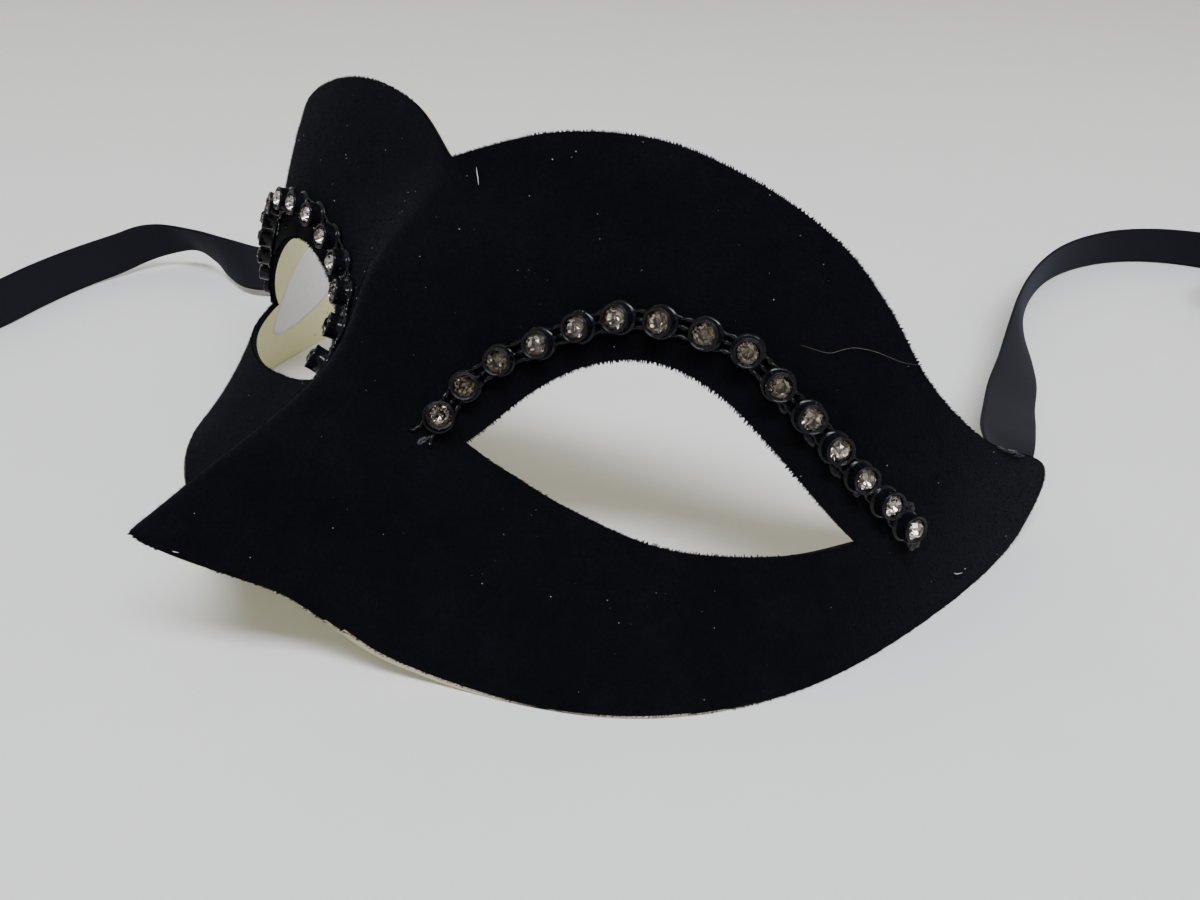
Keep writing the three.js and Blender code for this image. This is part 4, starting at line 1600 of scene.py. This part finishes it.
def thread_material(name, dark, light, roughness):
    """One thread colour that drifts from dark to light."""
    material, tree, shader, place = new_material(name, Roughness=roughness)
    paint(tree, shader, mottling(tree, place, 600.0), dark, light)
    return material


hair_brown = thread_material("hair_brown", HAIR_DARK, HAIR_LIGHT, roughness=0.35)
lint_grey = thread_material("lint_grey", LINT_DARK, LINT_LIGHT, roughness=0.8)


# %% Dressing the pieces
def dress(pieces, *materials):
    """Puts the materials on the pieces, in the order of their material numbers."""
    for piece in pieces:
        for material in materials:
            piece.data.materials.append(material)


dress([sheet], flock_ground, cream, shade_band_cream)
dress(flock, flock_pile)
dress(strips, black_plastic)
dress(stones, glass, mirror)
dress([sticker], paper)
dress([glue], glue_clear)
dress([hair], hair_brown)
dress([lint], lint_grey)
dress(ribbons, satin)
print("Materials:", len(bpy.data.materials))

# %% [markdown]
# The mask lies on a pale table in a plainly lit room. A long narrow lamp hangs high on the wearer's left,
# a little in front. Its length softens the shadow of the nose and its narrow side keeps the shadow of
# the brow firm. The room gives the rest of the light, and the cream inside throws some of it back.

# %% Stage
FLOOR_HALF_SIZE = 3000
FLOOR_LIGHT = (0.66, 0.66, 0.645, 1)
FLOOR_DARK = (0.64, 0.64, 0.63, 1)


def add_floor():
    """A wide flat table top at height 0, which belongs to the stage and not to the mask."""
    corners = np.array([(-1, -1, 0), (1, -1, 0), (1, 1, 0), (-1, 1, 0)]) * FLOOR_HALF_SIZE
    piece = mesh_piece("table_top", corners, [np.array([[0, 1, 2, 3]])], smooth=False)
    material, tree, shader, place = new_material("pale_table", Roughness=0.55)
    paint(tree, shader, mottling(tree, place, 18.0), FLOOR_DARK, FLOOR_LIGHT)
    dress([piece], material)
    describe(piece)


add_floor()

# %% [markdown]
# Daylight from a window could be a sun lamp, but its shadows would all be equally sharp. A long narrow
# rectangle gives the firm and the soft ones together, by the way its long side runs.

# %% Window light
WINDOW_AT = (580, -490, 1450)
WINDOW_WAY = (0.9, 0.43, 0)
WINDOW_LONG = 1500
WINDOW_WIDE = 300
WINDOW_POWER = 43
WINDOW_COLOUR = (0.95, 0.985, 1.1)


def area_light(name, at, way, long, wide, power, colour):
    """A rectangular lamp that shines at the origin: where it hangs, the way its long side runs, its two
    sides in mm and its power in watts."""
    data = bpy.data.lights.new(name, "AREA")
    data.shape = "RECTANGLE"
    data.size = long * MM
    data.size_y = wide * MM
    data.energy = power
    data.color = colour
    back = Vector(at).normalized()
    across = back.cross(Vector(way)).normalized()
    lamp = bpy.data.objects.new(name, data)
    lamp.location = Vector(at) * MM
    lamp.rotation_euler = Matrix((across.cross(back), across, back)).transposed().to_euler()
    bpy.context.scene.collection.objects.link(lamp)
    print(name, "lamp:", long, "x", wide, "mm,", power, "W")


area_light("window", WINDOW_AT, WINDOW_WAY, WINDOW_LONG, WINDOW_WIDE, WINDOW_POWER, WINDOW_COLOUR)

# %% [markdown]
# The room lights the shadows. A picture of a room could be wrapped round the scene, but plain walls keep
# the shadows clean, and only the ceiling needs pale and dark parts for the stones to mirror.

# %% Room
ROOM_COLOUR = (1, 0.965, 0.84, 1)
ROOM_DARK = 0.05
ROOM_LIGHT = 2.4
ROOM_DARK_FROM = 0.54
ROOM_LIGHT_FROM = 0.58
ROOM_SCALE = 12.0
WALL_STRENGTH = 0.68
WALL_TOP = 0.3
CEILING_FROM = 0.45


def add_room():
    """The room round the table: plain walls, and above them noise on the direction, which stands for
    pale and dark parts of the ceiling that the stones mirror."""
    world = bpy.data.worlds.new("studio")
    bpy.context.scene.world = world
    world.use_nodes = True
    tree = world.node_tree
    place = tree.nodes.new("ShaderNodeTexCoord").outputs["Generated"]
    uneven = node(tree, "ShaderNodeTexNoise", {"Vector": place, "Scale": ROOM_SCALE, "Detail": 1.0})
    ceiling = ramp(tree, uneven.outputs[0], ROOM_DARK_FROM, ROOM_LIGHT_FROM, ROOM_DARK, ROOM_LIGHT)
    height = node(tree, "ShaderNodeSeparateXYZ", {"Vector": place}).outputs["Z"]
    share = ramp(tree, height, WALL_TOP, CEILING_FROM, 0.0, 1.0)
    both = node(tree, "ShaderNodeMix", {"Factor": share, "A": WALL_STRENGTH, "B": ceiling})
    sky = tree.nodes["Background"]
    sky.inputs["Color"].default_value = ROOM_COLOUR
    tree.links.new(both.outputs["Result"], sky.inputs["Strength"])


add_room()
